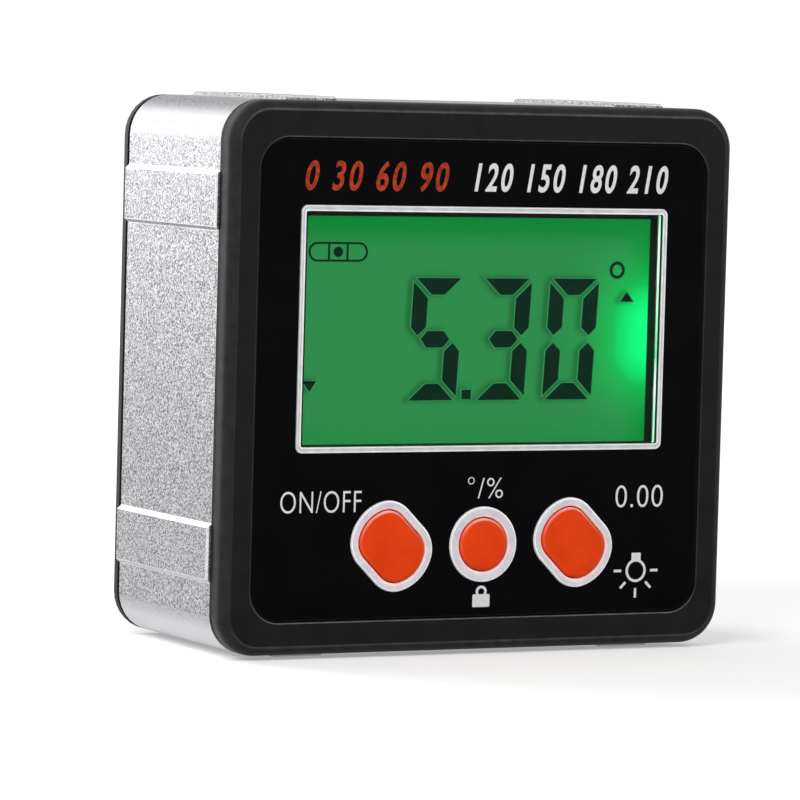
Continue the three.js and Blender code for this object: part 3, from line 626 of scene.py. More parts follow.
@dataclass(frozen=True)
class Clear(Finish):
    """A clear sheet: what is behind it shows, with a faint gloss and fine haze over it."""

    tint: Colour = (1.0, 1.0, 1.0, 1.0)
    gloss: float = 0.01
    haze: float = 0.01
    haze_colour: Colour = (0.5, 0.6, 0.55, 1.0)
    smudge: float = 2.5
    roughness: Point = (0.25, 0.4)

    def lay(self, surface: Surface) -> None:
        """Builds the nodes.

        Args:
            surface: The tree that they go into.
        """
        gloss = surface.patchy(self.smudge, self.roughness, 3.0)
        through = surface.node("ShaderNodeBsdfTransparent", {"Color": self.tint}).outputs[0]
        shine = surface.node("ShaderNodeBsdfGlossy", {"Roughness": gloss}).outputs[0]
        film = surface.node("ShaderNodeBsdfDiffuse", {"Color": self.haze_colour}).outputs[0]
        shiny = surface.node("ShaderNodeMixShader", {"Fac": self.gloss, 1: through, 2: shine}).outputs[0]
        haze = surface.patchy(self.smudge, (self.haze / 2, self.haze), 3.0)
        hazed = surface.node("ShaderNodeMixShader", {"Fac": haze, 1: shiny, 2: film})
        surface.end(hazed)


@dataclass(frozen=True)
class Backlight(Finish):
    """The lit sheet behind the display: green, brightest where the lamp shines in at the right, with painted
    shade along its top and bottom and under the marks.
    """

    even: Colour = written(45, 138, 75)
    near_lamp: Colour = written(10, 203, 86)
    lamp: Colour = written(12, 255, 134)
    # far: the darker green of the painted shade at the top and bottom, also mixed into the smudges.
    far: Colour = written(8, 132, 51)
    side: Colour = written(10, 132, 50)
    shadow: Colour = written(6, 44, 26)
    side_from: float = 17.6
    side_to: float = 20.4
    lamp_x: float = 20.6
    lamp_z: float = 31.0
    lamp_half: float = 1.2
    lamp_reach: float = 4.35
    lamp_fall: float = 1.6
    lamp_level: float = 1.08
    smudge: float = 1.6
    smudge_share: float = 0.1
    near_full: float = 0.62
    lamp_start: float = 0.45
    top: float = 41.3
    top_fade: float = 1.9
    bottom: float = 20.8
    bottom_fade: float = 2.4
    bottom_dim: float = 0.3

    def lay(self, surface: Surface) -> None:
        """Builds the nodes.

        Args:
            surface: The tree that they go into.
        """
        x, height = surface.across_and_up()
        across = surface.maths("SUBTRACT", x, self.lamp_x * MM)
        from_lamp = surface.maths("ABSOLUTE", surface.maths("SUBTRACT", height, self.lamp_z * MM))
        past_lamp = surface.maths("SUBTRACT", from_lamp, self.lamp_half * MM)
        upwards = surface.maths("MAXIMUM", past_lamp, 0.0)
        squares = surface.maths("ADD", surface.times(across, across), surface.times(upwards, upwards))
        distance = surface.maths("SQRT", squares)
        share = surface.maths("DIVIDE", distance, self.lamp_reach * MM)
        fall = surface.times(surface.maths("POWER", share, self.lamp_fall), -1.0)
        glow = surface.times(surface.maths("EXPONENT", fall), self.lamp_level)
        # Painted shade: the sheet turns darker under the bezel at the top, and a little darker towards the
        # bottom.
        high = surface.ramp(height, self.top - self.top_fade, self.top)
        low = surface.ramp(height, self.bottom, self.bottom + self.bottom_fade, (self.bottom_dim, 0.0))
        colour = surface.mix(surface.maths("MAXIMUM", high, low), self.even, self.far)
        smudges = surface.patchy(self.smudge, (0.0, self.smudge_share), 3.0)
        aside = surface.ramp(x, self.side_from, self.side_to)
        mottled = surface.mix(aside, surface.mix(smudges, colour, self.far), self.side)
        near = surface.mix(surface.spread(glow, 0.0, self.near_full), mottled, self.near_lamp)
        lit = surface.mix(surface.spread(glow, self.lamp_start, 1.0), near, self.lamp)
        shaded = surface.mix(surface.attribute("shade"), lit, self.shadow)
        surface.end(surface.node("ShaderNodeEmission", {"Color": shaded, "Strength": 1.0}))


@dataclass(frozen=True)
class Jacket(Finish):
    """A cell's printed sleeve: a dark body and a bright band at the end that carries the nub."""

    body: Colour = written(38, 66, 110)
    sheen: Colour = written(58, 92, 140)
    band: Colour = written(186, 190, 196)
    band_from: float = 13.0
    band_blur: float = 0.05
    patch: float = 3.0
    sheen_share: float = 0.25
    gloss: Point = (0.28, 0.4)
    grain: float = 0.6
    relief: float = 0.1
    relief_depth: float = 0.02
    towards: int = 1

    def lay(self, surface: Surface) -> None:
        """Builds the nodes.

        Args:
            surface: The tree that they go into.
        """
        x, _ = surface.across_and_up()
        start, blur = self.towards * self.band_from, self.towards * self.band_blur
        banded = surface.ramp(x, start - blur, start + blur)
        soft = surface.patchy(self.patch, (0.0, self.sheen_share), 3.0)
        colour = surface.mix(banded, surface.mix(soft, self.body, self.sheen), self.band)
        roughness = surface.spread(soft, 0.0, self.sheen_share, self.gloss)
        relief = surface.bump(surface.noise(self.grain), self.relief, self.relief_depth)
        surface.principled(colour, roughness, relief)


@dataclass(frozen=True)
class Board(Finish):
    """Solder mask over copper: straight tracks a shade lighter than the ground between them."""

    ground: Colour = written(16, 70, 40)
    track: Colour = written(34, 104, 58)
    pitch: float = 1.7
    stretch: float = 4.3
    track_width: float = 0.07
    track_blur: float = 0.2
    patch: float = 0.8
    gloss: Point = (0.3, 0.45)
    relief: float = 0.4
    relief_depth: float = 0.03

    def lay(self, surface: Surface) -> None:
        """Builds the nodes.

        Args:
            surface: The tree that they go into.
        """
        turned = {"Rotation": (math.pi / 2, 0.0, 0.0), "Vector": surface.place}
        layout = {
            "Vector": surface.node("ShaderNodeMapping", turned).outputs["Vector"],
            "Scale": 1 / (self.pitch * MM),
            "Mortar Size": self.track_width,
            "Mortar Smooth": self.track_blur,
            "Brick Width": self.stretch,
        }
        tracks = surface.node("ShaderNodeTexBrick", layout).outputs["Fac"]
        colour = surface.mix(tracks, self.ground, self.track)
        relief = surface.bump(tracks, self.relief, self.relief_depth)
        surface.principled(colour, surface.patchy(self.patch, self.gloss), relief)


@dataclass(frozen=True)
class Striped(Finish):
    """The strip that joins glass and board: fine dark lines across a pale rubber."""

    pale: Colour = written(208, 150, 160)
    line: Colour = written(28, 26, 28)
    pitch: float = 0.25
    patch: float = 0.4
    gloss: Point = (0.5, 0.7)
    grain: float = 0.3
    relief: float = 0.2
    relief_depth: float = 0.02

    def lay(self, surface: Surface) -> None:
        """Builds the nodes.

        Args:
            surface: The tree that they go into.
        """
        pitch = {"Scale": math.tau / 20 / (self.pitch * MM), "Distortion": 0.0, "Vector": surface.place}
        wave = surface.node("ShaderNodeTexWave", pitch, wave_type="BANDS", bands_direction="X")
        lines = surface.spread(wave.outputs["Fac"], 0.4, 0.6)
        colour = surface.mix(lines, self.line, self.pale)
        relief = surface.bump(surface.noise(self.grain), self.relief, self.relief_depth)
        surface.principled(colour, surface.patchy(self.patch, self.gloss), relief)


SATIN = {"grain": 0.15, "relief": 0.15, "relief_depth": 0.01, "smooth": 0.3, "rough": 0.42}
INK = {"grain": 0.1, "relief": 0.2, "relief_depth": 0.01, "smooth": 0.5, "rough": 0.6, "specular": 0.1}
SEGMENT = {"mottle": 0.8, "grain": 0.3, "relief": 0.05, "smooth": 0.4, "rough": 0.5, "specular": 0.0}
STEEL = {"relief_depth": 0.01, "smooth": 0.2, "rough": 0.36, "metallic": 1.0}
LEAD = {"mottle": 0.9, "grain": 0.3, "relief": 0.2, "smooth": 0.4, "rough": 0.55}

BLASTED_ALUMINIUM = Blasted("blasted_aluminium", "aluminium")
# Painted highlight, partly the cut edges' own brightness: the sleeve's chamfers and the band steps that are
# not painted as shaded.
CUT_AND_LIT_ALUMINIUM = Grained(
    "bright_cut_aluminium", "aluminium", written(196, 196, 198), written(226, 226, 228), mottle=0.3,
    relief=0.15, relief_depth=0.01, smooth=0.25, rough=0.4, metallic=0.7,
)
# Painted shade: the side bands' front ends beside the bezel are painted nearly black.
BAND_END_SHADE = Grained(
    "sawn_aluminium", "aluminium", written(8, 8, 10), written(30, 30, 33), mottle=0.5, smooth=0.4,
    rough=0.6, metallic=0.3, specular=0.1, stretch=(1.0, 6.0),
)
# Painted shade: the steps on the underside of the upper side bands.
SHADED_ALUMINIUM = Grained(
    "shaded_aluminium", "aluminium", written(112, 112, 114), written(188, 188, 191), mottle=0.17,
    contrast=0.12, smooth=0.4, rough=0.55, metallic=0.8,
)
# painted_highlight: the lighter lines painted along the bezel's edges and round its recess.
MOULDED_BLACK = Grained(
    "moulded_black", "black_plastic", written(16, 16, 18), written(22, 22, 24), mottle=2.2, grain=0.14,
    relief=0.35, relief_depth=0.012, smooth=0.38, rough=0.55, specular=0.08, painted_highlight=written(150, 150, 152),
)
BACK_BLACK = Grained(
    "spark_eroded_black", "black_plastic", written(24, 24, 26), written(31, 31, 33), mottle=0.5,
    contrast=0.3, grain=0.16, relief=0.6, relief_depth=0.025, smooth=0.45, rough=0.65, specular=0.25,
)
# Painted highlight on the softened edges of the back cover and the battery door.
BLACK_EDGE_HIGHLIGHT = Grained(
    "polished_black_edge", "black_plastic", written(46, 46, 48), written(66, 66, 69), mottle=0.7,
    grain=0.16, relief=0.2, relief_depth=0.01, smooth=0.3, rough=0.45, specular=0.4,
)
# painted_highlight: the light line painted on the chamfer round the panel.
GLOSS_PANEL = Grained(
    "gloss_panel_black", "gloss_panel", written(5, 5, 7), written(8, 8, 10), mottle=6.0, grain=4.0,
    relief=0.05, relief_depth=0.01, smooth=0.08, rough=0.14, specular=0.02, painted_highlight=written(50, 50, 52),
)
# painted_highlight: the white lines painted along the trim's raised edges.
SILVER_TRIM = Grained(
    "satin_silver", "silver_trim", written(181, 182, 184), written(200, 201, 203), mottle=0.8,
    metallic=0.15, painted_highlight=written(250, 251, 251), **SATIN,
)
# Painted shade and painted reflection: the trim's silver inner wall is painted dark green.
TRIM_WALL_SHADE = Grained(
    "trim_inner_wall", "silver_trim", written(14, 44, 30), written(24, 62, 44), mottle=0.8, grain=0.15,
    relief=0.15, relief_depth=0.01, smooth=0.4, rough=0.55, specular=0.2,
)
# painted_highlight: the white line painted along the ring's outer edge.
RING_SILVER = Grained(
    "lilac_silver", "silver_trim", written(203, 199, 208), written(220, 216, 225), mottle=0.9, metallic=0.1,
    painted_highlight=written(255, 254, 255), **SATIN,
)
# Painted reflection: the ring's inner edge is painted pink, as the orange cap shows in it.
RING_INNER_REFLECTION = Grained(
    "rosy_silver", "silver_trim", written(250, 206, 198), written(255, 226, 220), mottle=0.9, metallic=0.1,
    **SATIN,
)
# painted_highlight: the pale line painted along the top of the cap's rounded edge.
ORANGE_RUBBER = Grained(
    "orange_silicone", "orange_rubber", written(226, 61, 9), written(236, 69, 14), mottle=3.0, relief=0.15,
    relief_depth=0.01, smooth=0.25, rough=0.4, specular=0.06, painted_highlight=written(255, 196, 186),
)
WHITE_INK = Grained(
    "white_ink", "silver_trim", written(212, 212, 214), written(226, 226, 228), mottle=0.25, **INK,
)
ORANGE_INK = Grained(
    "orange_ink", "orange_rubber", written(128, 42, 18), written(182, 64, 30), mottle=0.45, **INK,
)
SEGMENT_DARK = Grained(
    "display_segment", "polarizer_film", written(7, 38, 25), written(12, 45, 30), glow=0.65, **SEGMENT,
)
SEGMENT_RIM = Grained(
    "display_segment_rim", "polarizer_film", written(56, 158, 92), written(66, 172, 102), glow=0.55,
    **SEGMENT,
)
PANE = Clear("window_pane", "clear_window", gloss=0.002, haze=0.001)
# Painted glow: the faces at the pane's right-hand edge glow green, standing in for the display lamp's light
# on them.
PANE_EDGE_GLOW = Grained(
    "pane_edge", "clear_window", written(96, 210, 150), written(214, 252, 230), mottle=3.5, contrast=0.14,
    smooth=0.3, glow=0.6,
)
FILM = Clear("clear_film", "polarizer_film", gloss=0.0003, haze=0.0003)
GLASS = Clear("clear_glass", "display_glass", gloss=0.0003, haze=0.0003)
BACKLIGHT = Backlight("lit_sheet", "light_guide")
LIGHT_GUIDE = Grained(
    "light_guide_side", "light_guide", written(170, 226, 190), written(206, 244, 218), grain=0.3,
    relief=0.1, smooth=0.2, rough=0.3,
)
WHITE_PLASTIC = Grained(
    "white_moulding", "white_plastic", written(214, 213, 207), written(230, 229, 223), mottle=1.8,
    relief=0.25, smooth=0.4, rough=0.55,
)
FOAM = Grained(
    "black_foam", "foam", written(20, 20, 20), written(38, 38, 38), mottle=0.25, grain=0.18, relief=0.9,
    relief_depth=0.06, smooth=0.85, rough=0.98, specular=0.1,
)
STRIP_RUBBER = Striped("striped_rubber", "contact_rubber")
SOLDER_MASK = Board("solder_mask", "board_green")
CHIP_BLACK = Grained(
    "chip_epoxy", "chip_black", written(20, 20, 22), written(30, 30, 32), mottle=0.6, grain=0.1, relief=0.4,
    relief_depth=0.01, smooth=0.45, rough=0.6,
)
SWITCH_STEEL = Grained(
    "switch_can", "switch_steel", written(176, 178, 182), written(206, 208, 212), mottle=0.7, grain=0.12,
    relief=0.2, relief_depth=0.008, smooth=0.28, rough=0.42, metallic=1.0, stretch=(1.0, 5.0),
)
SCREW_STEEL = Grained(
    "screw_steel", "steel", written(166, 167, 171), written(194, 195, 199), mottle=0.9, relief=0.12,
    **STEEL,
)
PLATED_STEEL = Grained(
    "plated_steel", "steel", written(186, 187, 190), written(216, 217, 220), mottle=0.8, grain=0.15,
    relief=0.15, **STEEL,
)
MAGNET_NICKEL = Grained(
    "magnet_plating", "magnet_nickel", written(160, 160, 162), written(190, 190, 192), mottle=0.9,
    relief=0.15, relief_depth=0.01, smooth=0.16, rough=0.3, metallic=1.0,
)
CELL_RIGHT = Jacket("cell_jacket_right", "cell_jacket")
CELL_LEFT = Jacket("cell_jacket_left", "cell_jacket", towards=-1)
RED_LEAD = Grained("red_insulation", "red_lead", written(150, 20, 20), written(182, 34, 32), **LEAD)
BLACK_LEAD = Grained("black_insulation", "black_lead", written(18, 18, 18), written(32, 32, 32), **LEAD)


# Meshes


def added(name: str, data: bpy.types.ID) -> bpy.types.Object:
    """Adds an object to the scene.

    Args:
        name: The object's name.
        data: What it shows.

    Returns:
        The object.
    """
    made = bpy.data.objects.new(name, data)
    bpy.context.scene.collection.objects.link(made)
    return made


def stored(mesh: bmesh.types.BMesh, name: str) -> bpy.types.Mesh:
    """Ends the work on a mesh and stores it.

    Args:
        mesh: The mesh, which is freed.
        name: The name to store it under.

    Returns:
        The stored mesh.
    """
    data = bpy.data.meshes.new(name)
    mesh.to_mesh(data)
    mesh.free()
    return data


def ended(mesh: bmesh.types.BMesh, name: str) -> bpy.types.Mesh:
    """Merges a mesh's doubles, turns its faces outwards, brings it to metres and stores it.

    Args:
        mesh: The mesh, which is freed.
        name: The name to store it under.

    Returns:
        The stored mesh.
    """
    bmesh.ops.remove_doubles(mesh, verts=mesh.verts, dist=WELD)
    bmesh.ops.recalc_face_normals(mesh, faces=mesh.faces)
    mesh.transform(TO_METRES)
    return stored(mesh, name)


def place(name: str, data: bpy.types.Mesh, *finishes: Finish, body: str = HOUSING) -> bpy.types.Object:
    """Makes a finished mesh a piece of the object, with clean shading, on its body.

    Args:
        name: The piece's name.
        data: Its mesh, in metres and where it belongs.
        finishes: Its finishes, in the order of the mesh's slots.
        body: The body that it rides on.

    Returns:
        The piece.
    """
    data.name = name
    data.shade_smooth()
    data.set_sharp_from_angle(angle=SHARP_ANGLE)
    if data.materials:
        data.materials.clear()
    for finish in finishes:
        data.materials.append(finish.material())
    piece = added(name, data)
    weighted = piece.modifiers.new("even_shading", "WEIGHTED_NORMAL")
    weighted.keep_sharp = True
    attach(piece, body)
    return piece


@dataclass(frozen=True)
class EdgeHighlight:
    """How strong the painted highlight on an edge is along its top, its sides and its bottom, from 0 to 1."""

    top: float = 0.0
    side: float = 0.0
    bottom: float = 0.0
    turn: int = 6

    def at(self, raised: float) -> float:
        """Works out the painted highlight at a height.

        Args:
            raised: The height, from 0 at the bottom to 1 at the top.

        Returns:
            How strong the painted highlight is there.
        """
        end = self.top if raised > 0.5 else self.bottom
        return self.side + (end - self.side) * abs(2 * raised - 1) ** self.turn


NO_HIGHLIGHT = EdgeHighlight()
Station = tuple[Outline, float] | tuple[Outline, float, EdgeHighlight]


def even(share: float) -> EdgeHighlight:
    """Gives a painted highlight that is the same all round."""
    return EdgeHighlight(share, share, share)


class Skin:
    """A closed surface that grows from level outlines, ring by ring, in millimetres."""

    def __init__(self) -> None:
        """Starts an empty surface."""
        self.mesh = bmesh.new()
        # The edge attribute holds each point's share of the painted highlight.
        self.edge = self.mesh.verts.layers.float.new("edge")

    def ring(self, outline: Outline, depth: float, wear: EdgeHighlight = NO_HIGHLIGHT) -> Ring:
        """Adds the points of an outline.

        Args:
            outline: The outline, seen from the front.
            depth: Where it lies along Y.
            highlight: How strong the painted highlight is there.

        Returns:
            The points.
        """
        made = [self.mesh.verts.new((x, depth, z)) for x, z in outline]
        low = min(z for _, z in outline)
        high = max(z for _, z in outline)
        for vert in made:
            vert[self.edge] = wear.at((vert.co.z - low) / (high - low))
        return made

    def wall(self, first: Ring, second: Ring) -> None:
        """Joins two rings of as many points by a wall.

        Args:
            first: The one ring.
            second: The other ring.
        """
        count = len(first)
        for i in range(count):
            j = (i + 1) % count
            self.mesh.faces.new((first[i], first[j], second[j], second[i]))

    def cap(self, *rings: Ring) -> None:
        """Fills the flat face between an outer ring and the rings inside it.

        Args:
            rings: The rings, the outer one and any holes.
        """
        edges = []
        for ring in rings:
            for a, b in zip(ring, ring[1:] + ring[:1]):
                edges.append(self.mesh.edges.get((a, b)) or self.mesh.edges.new((a, b)))
        bmesh.ops.triangle_fill(self.mesh, edges=edges, use_beauty=True)

    def walls(self, stations: list[Station]) -> list[Ring]:
        """Joins a row of outlines by walls, and leaves both ends open.

        Args:
            stations: Each outline with its depth and, where it carries a painted highlight, how strong.

        Returns:
            The rings.
        """
        rings = [self.ring(*station) for station in stations]
        for first, second in zip(rings, rings[1:]):
            self.wall(first, second)
        return rings

    def loft(self, stations: list[Station], looped: bool = False) -> list[Ring]:
        """Joins a row of outlines by walls to a closed surface.

        Args:
            stations: Each outline with its depth and, where it carries a painted highlight, how strong.
            looped: Whether the last outline joins the first, and else both ends are capped.

        Returns:
            The rings.
        """
        rings = self.walls(stations)
        if looped:
            self.wall(rings[-1], rings[0])
        else:
            self.cap(rings[0])
            self.cap(rings[-1])
        return rings

    def plate(self, outline: Outline, front: float, back: float) -> None:
        """Adds a plain plate with that outline."""
        self.loft([(outline, front), (outline, back)])

    def border(self, outer: Outline, inner: Outline, front: float, back: float) -> None:
        """Adds a flat frame between two outlines of as many points.

        Args:
            outer: The frame's outer outline.
            inner: Its opening.
            front: Where its front lies along Y.
            back: Where its back lies.
        """
        self.loft([(outer, front), (outer, back), (inner, back), (inner, front)], looped=True)

    def stroke(self, shape: Shape, width: float, front: float, back: float) -> None:
        """Adds a line of some width just inside a shape."""
        self.border(shape.outline(), shape.outline(width), front, back)

    def repaint(self, rings: list[Ring]) -> None:
        """Gives the faces between some rings the piece's second finish.

        Args:
            rings: The rings, each next to the one before.
        """
        between = set().union(*rings)
        for face in self.mesh.faces:
            if between.issuperset(face.verts):
                face.material_index = 1

    def take(self, data: bpy.types.Mesh) -> None:
        """Takes in another mesh that is in metres.

        Args:
            data: The mesh.
        """
        other = bmesh.new()
        other.from_mesh(data)
        other.transform(TO_METRES.inverted())
        spare = bpy.data.meshes.new("spare")
        other.to_mesh(spare)
        other.free()
        self.mesh.from_mesh(spare)
        bpy.data.meshes.remove(spare)

    def finish(self, name: str, *finishes: Finish, body: str = HOUSING) -> bpy.types.Object:
        """Turns the surface into a piece.

        Args:
            name: The piece's name.
            finishes: Its finishes.
            body: The body that it rides on.

        Returns:
            The piece.
        """
        return place(name, ended(self.mesh, name), *finishes, body=body)


def quarter_round(
    shape: Shape, inset: float, front: float, across: float, deep: float, steps: int,
) -> list[tuple[Outline, float]]:
    """Draws the rounded edge of a front face, from its side to its front.

    Args:
        shape: The outer shape.
        inset: How far inside the shape the side lies.
        front: Where the front face lies along Y.
        across: How far the edge reaches inwards.
        deep: How far it reaches backwards.
        steps: How many steps it has.

    Returns:
        The edge's outlines.
    """
    stations = []
    for i in range(steps + 1):
        angle = math.pi / 2 * i / steps
        inwards = inset + across * (1 - math.cos(angle))
        stations.append((shape.outline(inwards), front + deep * (1 - math.sin(angle))))
    return stations


def merged_copy(node: str) -> bmesh.types.BMesh:
    """Copies a CAD node's mesh and merges its loose triangles into whole flat faces.

    Args:
        node: The node's name.

    Returns:
        The merged mesh, in metres.
    """
    mesh = bmesh.new()
    mesh.from_mesh(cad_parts[node].data)
    for layer in list(mesh.loops.layers.uv):
        mesh.loops.layers.uv.remove(layer)
    bmesh.ops.remove_doubles(mesh, verts=mesh.verts, dist=WELD * MM)
    bmesh.ops.dissolve_limit(mesh, angle_limit=FLAT_ANGLE, verts=mesh.verts, edges=mesh.edges)
    return mesh


def softened(
    node: str, name: str, width: float, *finishes: Finish, body: str = HOUSING,
) -> bpy.types.Object:
    """Stands for a CAD node with a merged copy whose edges are softened.

    Args:
        node: The node.
        name: The new piece's name.
        width: How wide the softened edges are.
        finishes: Its finishes.
        body: The body that it rides on.

    Returns:
        The piece.
    """
    piece = place(name, stored(merged_copy(node), name), *finishes, body=body)
    bevel = piece.modifiers.new("soft_edges", "BEVEL")
    bevel.width = width * MM
    bevel.segments = 2
    bevel.limit_method = "ANGLE"
    bevel.angle_limit = SHARP_ANGLE
    bevel.use_clamp_overlap = True
    piece.modifiers.move(1, 0)
    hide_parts(node)
    return piece


def dress(node: str, finish: Finish) -> None:
    """Gives a CAD node that stays as it is a finish.

    Args:
        node: The node's name.
        finish: Its finish.
    """
    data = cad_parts[node].data
    data.materials.clear()
    data.materials.append(finish.material())


# Geometry Nodes


class Tree(Nodes):
    """A geometry node tree with named inputs, which makes what repeats or follows a path."""

    def __init__(self, name: str) -> None:
        """Starts an empty tree.

        Args:
            name: The tree's name.
        """
        super().__init__(bpy.data.node_groups.new(name, "GeometryNodeTree"))
        self.tree.interface.new_socket("Geometry", in_out="OUTPUT", socket_type="NodeSocketGeometry")
        self.start = self.tree.nodes.new("NodeGroupInput")
        self.end = self.tree.nodes.new("NodeGroupOutput")
        self.values: dict[str, object] = {}

    def size(self, name: str, value: object, kind: str = "NodeSocketFloat") -> Socket:
        """Adds a named input.

        Args:
            name: The input's name.
            value: What it is set to.
            kind: Its kind of socket.

        Returns:
            The socket that gives it inside the tree.
        """
        item = self.tree.interface.new_socket(name, in_out="INPUT", socket_type=kind)
        self.values[item.identifier] = value
        return self.start.outputs[name]

    def grow(self, geometry: Socket, finish: Finish) -> bpy.types.Mesh:
        """Ends the tree, runs it and takes the result as a plain mesh.

        Args:
            geometry: What the tree has made.
            finish: The material that it sets.

        Returns:
            The mesh, in millimetres.
        """
        real = self.node("GeometryNodeRealizeInstances", {"Geometry": geometry})
        dressed = self.node(
            "GeometryNodeSetMaterial",
            {"Geometry": real.outputs["Geometry"], "Material": finish.material()},
        )
        self.join(dressed.outputs["Geometry"], self.end.inputs["Geometry"])
        host = added(self.tree.name, bpy.data.meshes.new(self.tree.name))
        modifier = host.modifiers.new("grow", "NODES")
        modifier.node_group = self.tree
        for identifier, value in self.values.items():
            modifier[identifier] = value
        graph = bpy.context.evaluated_depsgraph_get()
        data = bpy.data.meshes.new_from_object(host.evaluated_get(graph), depsgraph=graph)
        host.modifiers.remove(modifier)
        bpy.data.objects.remove(host)
        return data


def settle(data: bpy.types.Mesh, matrix: Matrix) -> bpy.types.Mesh:
    """Moves a mesh made in millimetres to its place and ends it.

    Args:
        data: The mesh, which is removed.
        matrix: Its place, in millimetres.

    Returns:
        The ended mesh.
    """
    mesh = bmesh.new()
    mesh.from_mesh(data)
    mesh.transform(matrix)
    bpy.data.meshes.remove(data)
    return ended(mesh, "settled")


# Case


@dataclass
class CaseSleeve:
    """The aluminium sleeve with its eight raised bands, and the magnets behind them."""

    edge: float = 0.05
    end_edge: float = 0.2
    side_depth: float = 1.0
    bands_reach: float = 21.0
    facing: float = 0.9
    sloping: float = 0.3

    def build(self) -> None:
        """Makes the sleeve with softened edges, and dresses the magnets."""
        finishes = (BLASTED_ALUMINIUM, CUT_AND_LIT_ALUMINIUM, BAND_END_SHADE, SHADED_ALUMINIUM)
        sleeve = softened("case_frame", "case_sleeve", self.end_edge, *finishes)
        # The chamfers take the second finish, a painted highlight.
        sleeve.modifiers["soft_edges"].limit_method = "WEIGHT"
        sleeve.modifiers["soft_edges"].material = 1
        mesh = bmesh.new()
        mesh.from_mesh(sleeve.data)
        self.finish_steps(mesh)
        self.weigh_edges(mesh)
        mesh.to_mesh(sleeve.data)
        mesh.free()
        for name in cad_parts:
            if name.startswith("magnet_"):
                dress(name, MAGNET_NICKEL)

    def finish_steps(self, mesh: bmesh.types.BMesh) -> None:
        """Gives the side bands' cut front ends and their steps their own finishes: painted shade on the front
        ends and under the upper bands, a painted highlight on the other steps.

        Args:
            mesh: The sleeve, in metres.
        """
        box = span("case_frame")
        for face in mesh.faces:
            middle = face.calc_center_median() / MM
            if abs(middle.x) < box.x_high - self.side_depth:
                continue
            # Painted shade on the bands' front ends.
            if face.normal.y < -self.facing:
                face.material_index = 2
            elif abs(face.normal.z) > self.sloping and abs(middle.z - box.z) < self.bands_reach:
                # Painted shade under the upper bands, a painted highlight on the other steps.
                in_shade = face.normal.z < 0 and middle.z > box.z
                face.material_index = 3 if in_shade else 1

    def weigh_edges(self, mesh: bmesh.types.BMesh) -> None:
        """Sets how far each sharp edge is softened: most at the front ends of the bands.

        Args:
            mesh: The sleeve, in metres.
        """
        box = span("case_frame")
        weight = mesh.edges.layers.float.new("bevel_weight_edge")
        for edge in mesh.edges:
            if len(edge.link_faces) != 2 or edge.calc_face_angle() < SHARP_ANGLE:
                continue
            middle = (edge.verts[0].co + edge.verts[1].co) / 2 / MM
            at_side = abs(middle.x) > box.x_high - self.edge
            at_end = abs(middle.z - box.z) > box.z - self.edge
            at_front = any(face.normal.y < -self.facing for face in edge.link_faces)
            edge[weight] = 1.0 if (at_side or at_end) and at_front else self.edge / self.end_edge


@dataclass
class FrontBezel:
    """The black frame round the face panel."""

    corner: float = 4.0
    edge_in: float = 0.87
    edge_deep: float = 1.25
    edge_steps: int = 8
    ledge: float = 0.07
    recess_corner: float = 3.1
    recess_gap: float = 0.1
    plate: float = 1.3
    seam: float = 0.01
    # Painted highlight on the bezel: across its rounded edge, on its side behind it, and in lines where the
    # flat front starts and round the recess.
    edge_highlight: float = 0.05
    behind_highlight: float = 0.1
    flat_line: EdgeHighlight = EdgeHighlight(top=0.27, side=0.0, bottom=0.16, turn=10)
    recess_line: EdgeHighlight = EdgeHighlight(top=0.27, side=0.0, bottom=0.46, turn=10)

    def build(self, openings: list[Outline]) -> None:
        """Makes the bezel: a softly rounded front part, and the CAD's own rear part behind it.

        Args:
            openings: The outlines of the window's and the buttons' openings.
        """
        box = span("front_bezel")
        panel = span("face_panel")
        outer = Rounded.about(box, self.corner)
        recess = Rounded.about(panel, self.recess_corner, self.recess_gap)
        inside = panel.y_high + self.plate
        skin = Skin()
        edge = quarter_round(outer, 0.0, box.y_low, self.edge_in, self.edge_deep, self.edge_steps)
        behind, across = even(self.behind_highlight), even(self.edge_highlight)
        # Painted highlight along the rounded edge, stronger on the side behind it.
        painted_highlight = [(*station, behind if i < 2 else across) for i, station in enumerate(edge[:-1])]
        stations = [
            (outer.outline(), inside, behind),
            *painted_highlight,
            (edge[-1][0], box.y_low, self.flat_line),
            (outer.outline(self.edge_in + self.ledge), box.y_low, self.flat_line),
            (outer.outline(self.edge_in + 2 * self.ledge), box.y_low),
            (recess.outline(-2 * self.ledge), box.y_low),
            (recess.outline(-self.ledge), box.y_low, self.recess_line),
            (recess.outline(), box.y_low + self.ledge / 2, self.recess_line),
            (recess.outline(), box.y_low + self.ledge),
            (recess.outline(), panel.y_high),
        ]
        rings = skin.walls(stations)
        front_openings = [skin.ring(outline, panel.y_high) for outline in openings]
        skin.cap(rings[-1], *front_openings)
        back_openings = [skin.ring(outline, inside) for outline in openings]
        for first, second in zip(front_openings, back_openings):
            skin.wall(first, second)
        skin.cap(rings[0], *back_openings)
        skin.take(self.rear_part(inside + self.seam))
        bezel = skin.finish("bezel", MOULDED_BLACK)
        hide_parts("front_bezel")

    def rear_part(self, inside: float) -> bpy.types.Mesh:
        """Cuts the CAD bezel behind its plate: spigot, bosses and standoffs.

        Args:
            inside: Where it is cut along Y.

        Returns:
            The cut mesh, in metres.
        """
        mesh = merged_copy("front_bezel")
        cut = bmesh.ops.bisect_plane(
            mesh,
            geom=mesh.verts[:] + mesh.edges[:] + mesh.faces[:],
            plane_co=(0.0, inside * MM, 0.0),
            plane_no=(0.0, 1.0, 0.0),
            clear_inner=True,
        )
        rim = [e for e in cut["geom_cut"] if isinstance(e, bmesh.types.BMEdge)]
        bmesh.ops.triangle_fill(mesh, edges=rim, use_beauty=True)
        return stored(mesh, "bezel_rear")


# Face


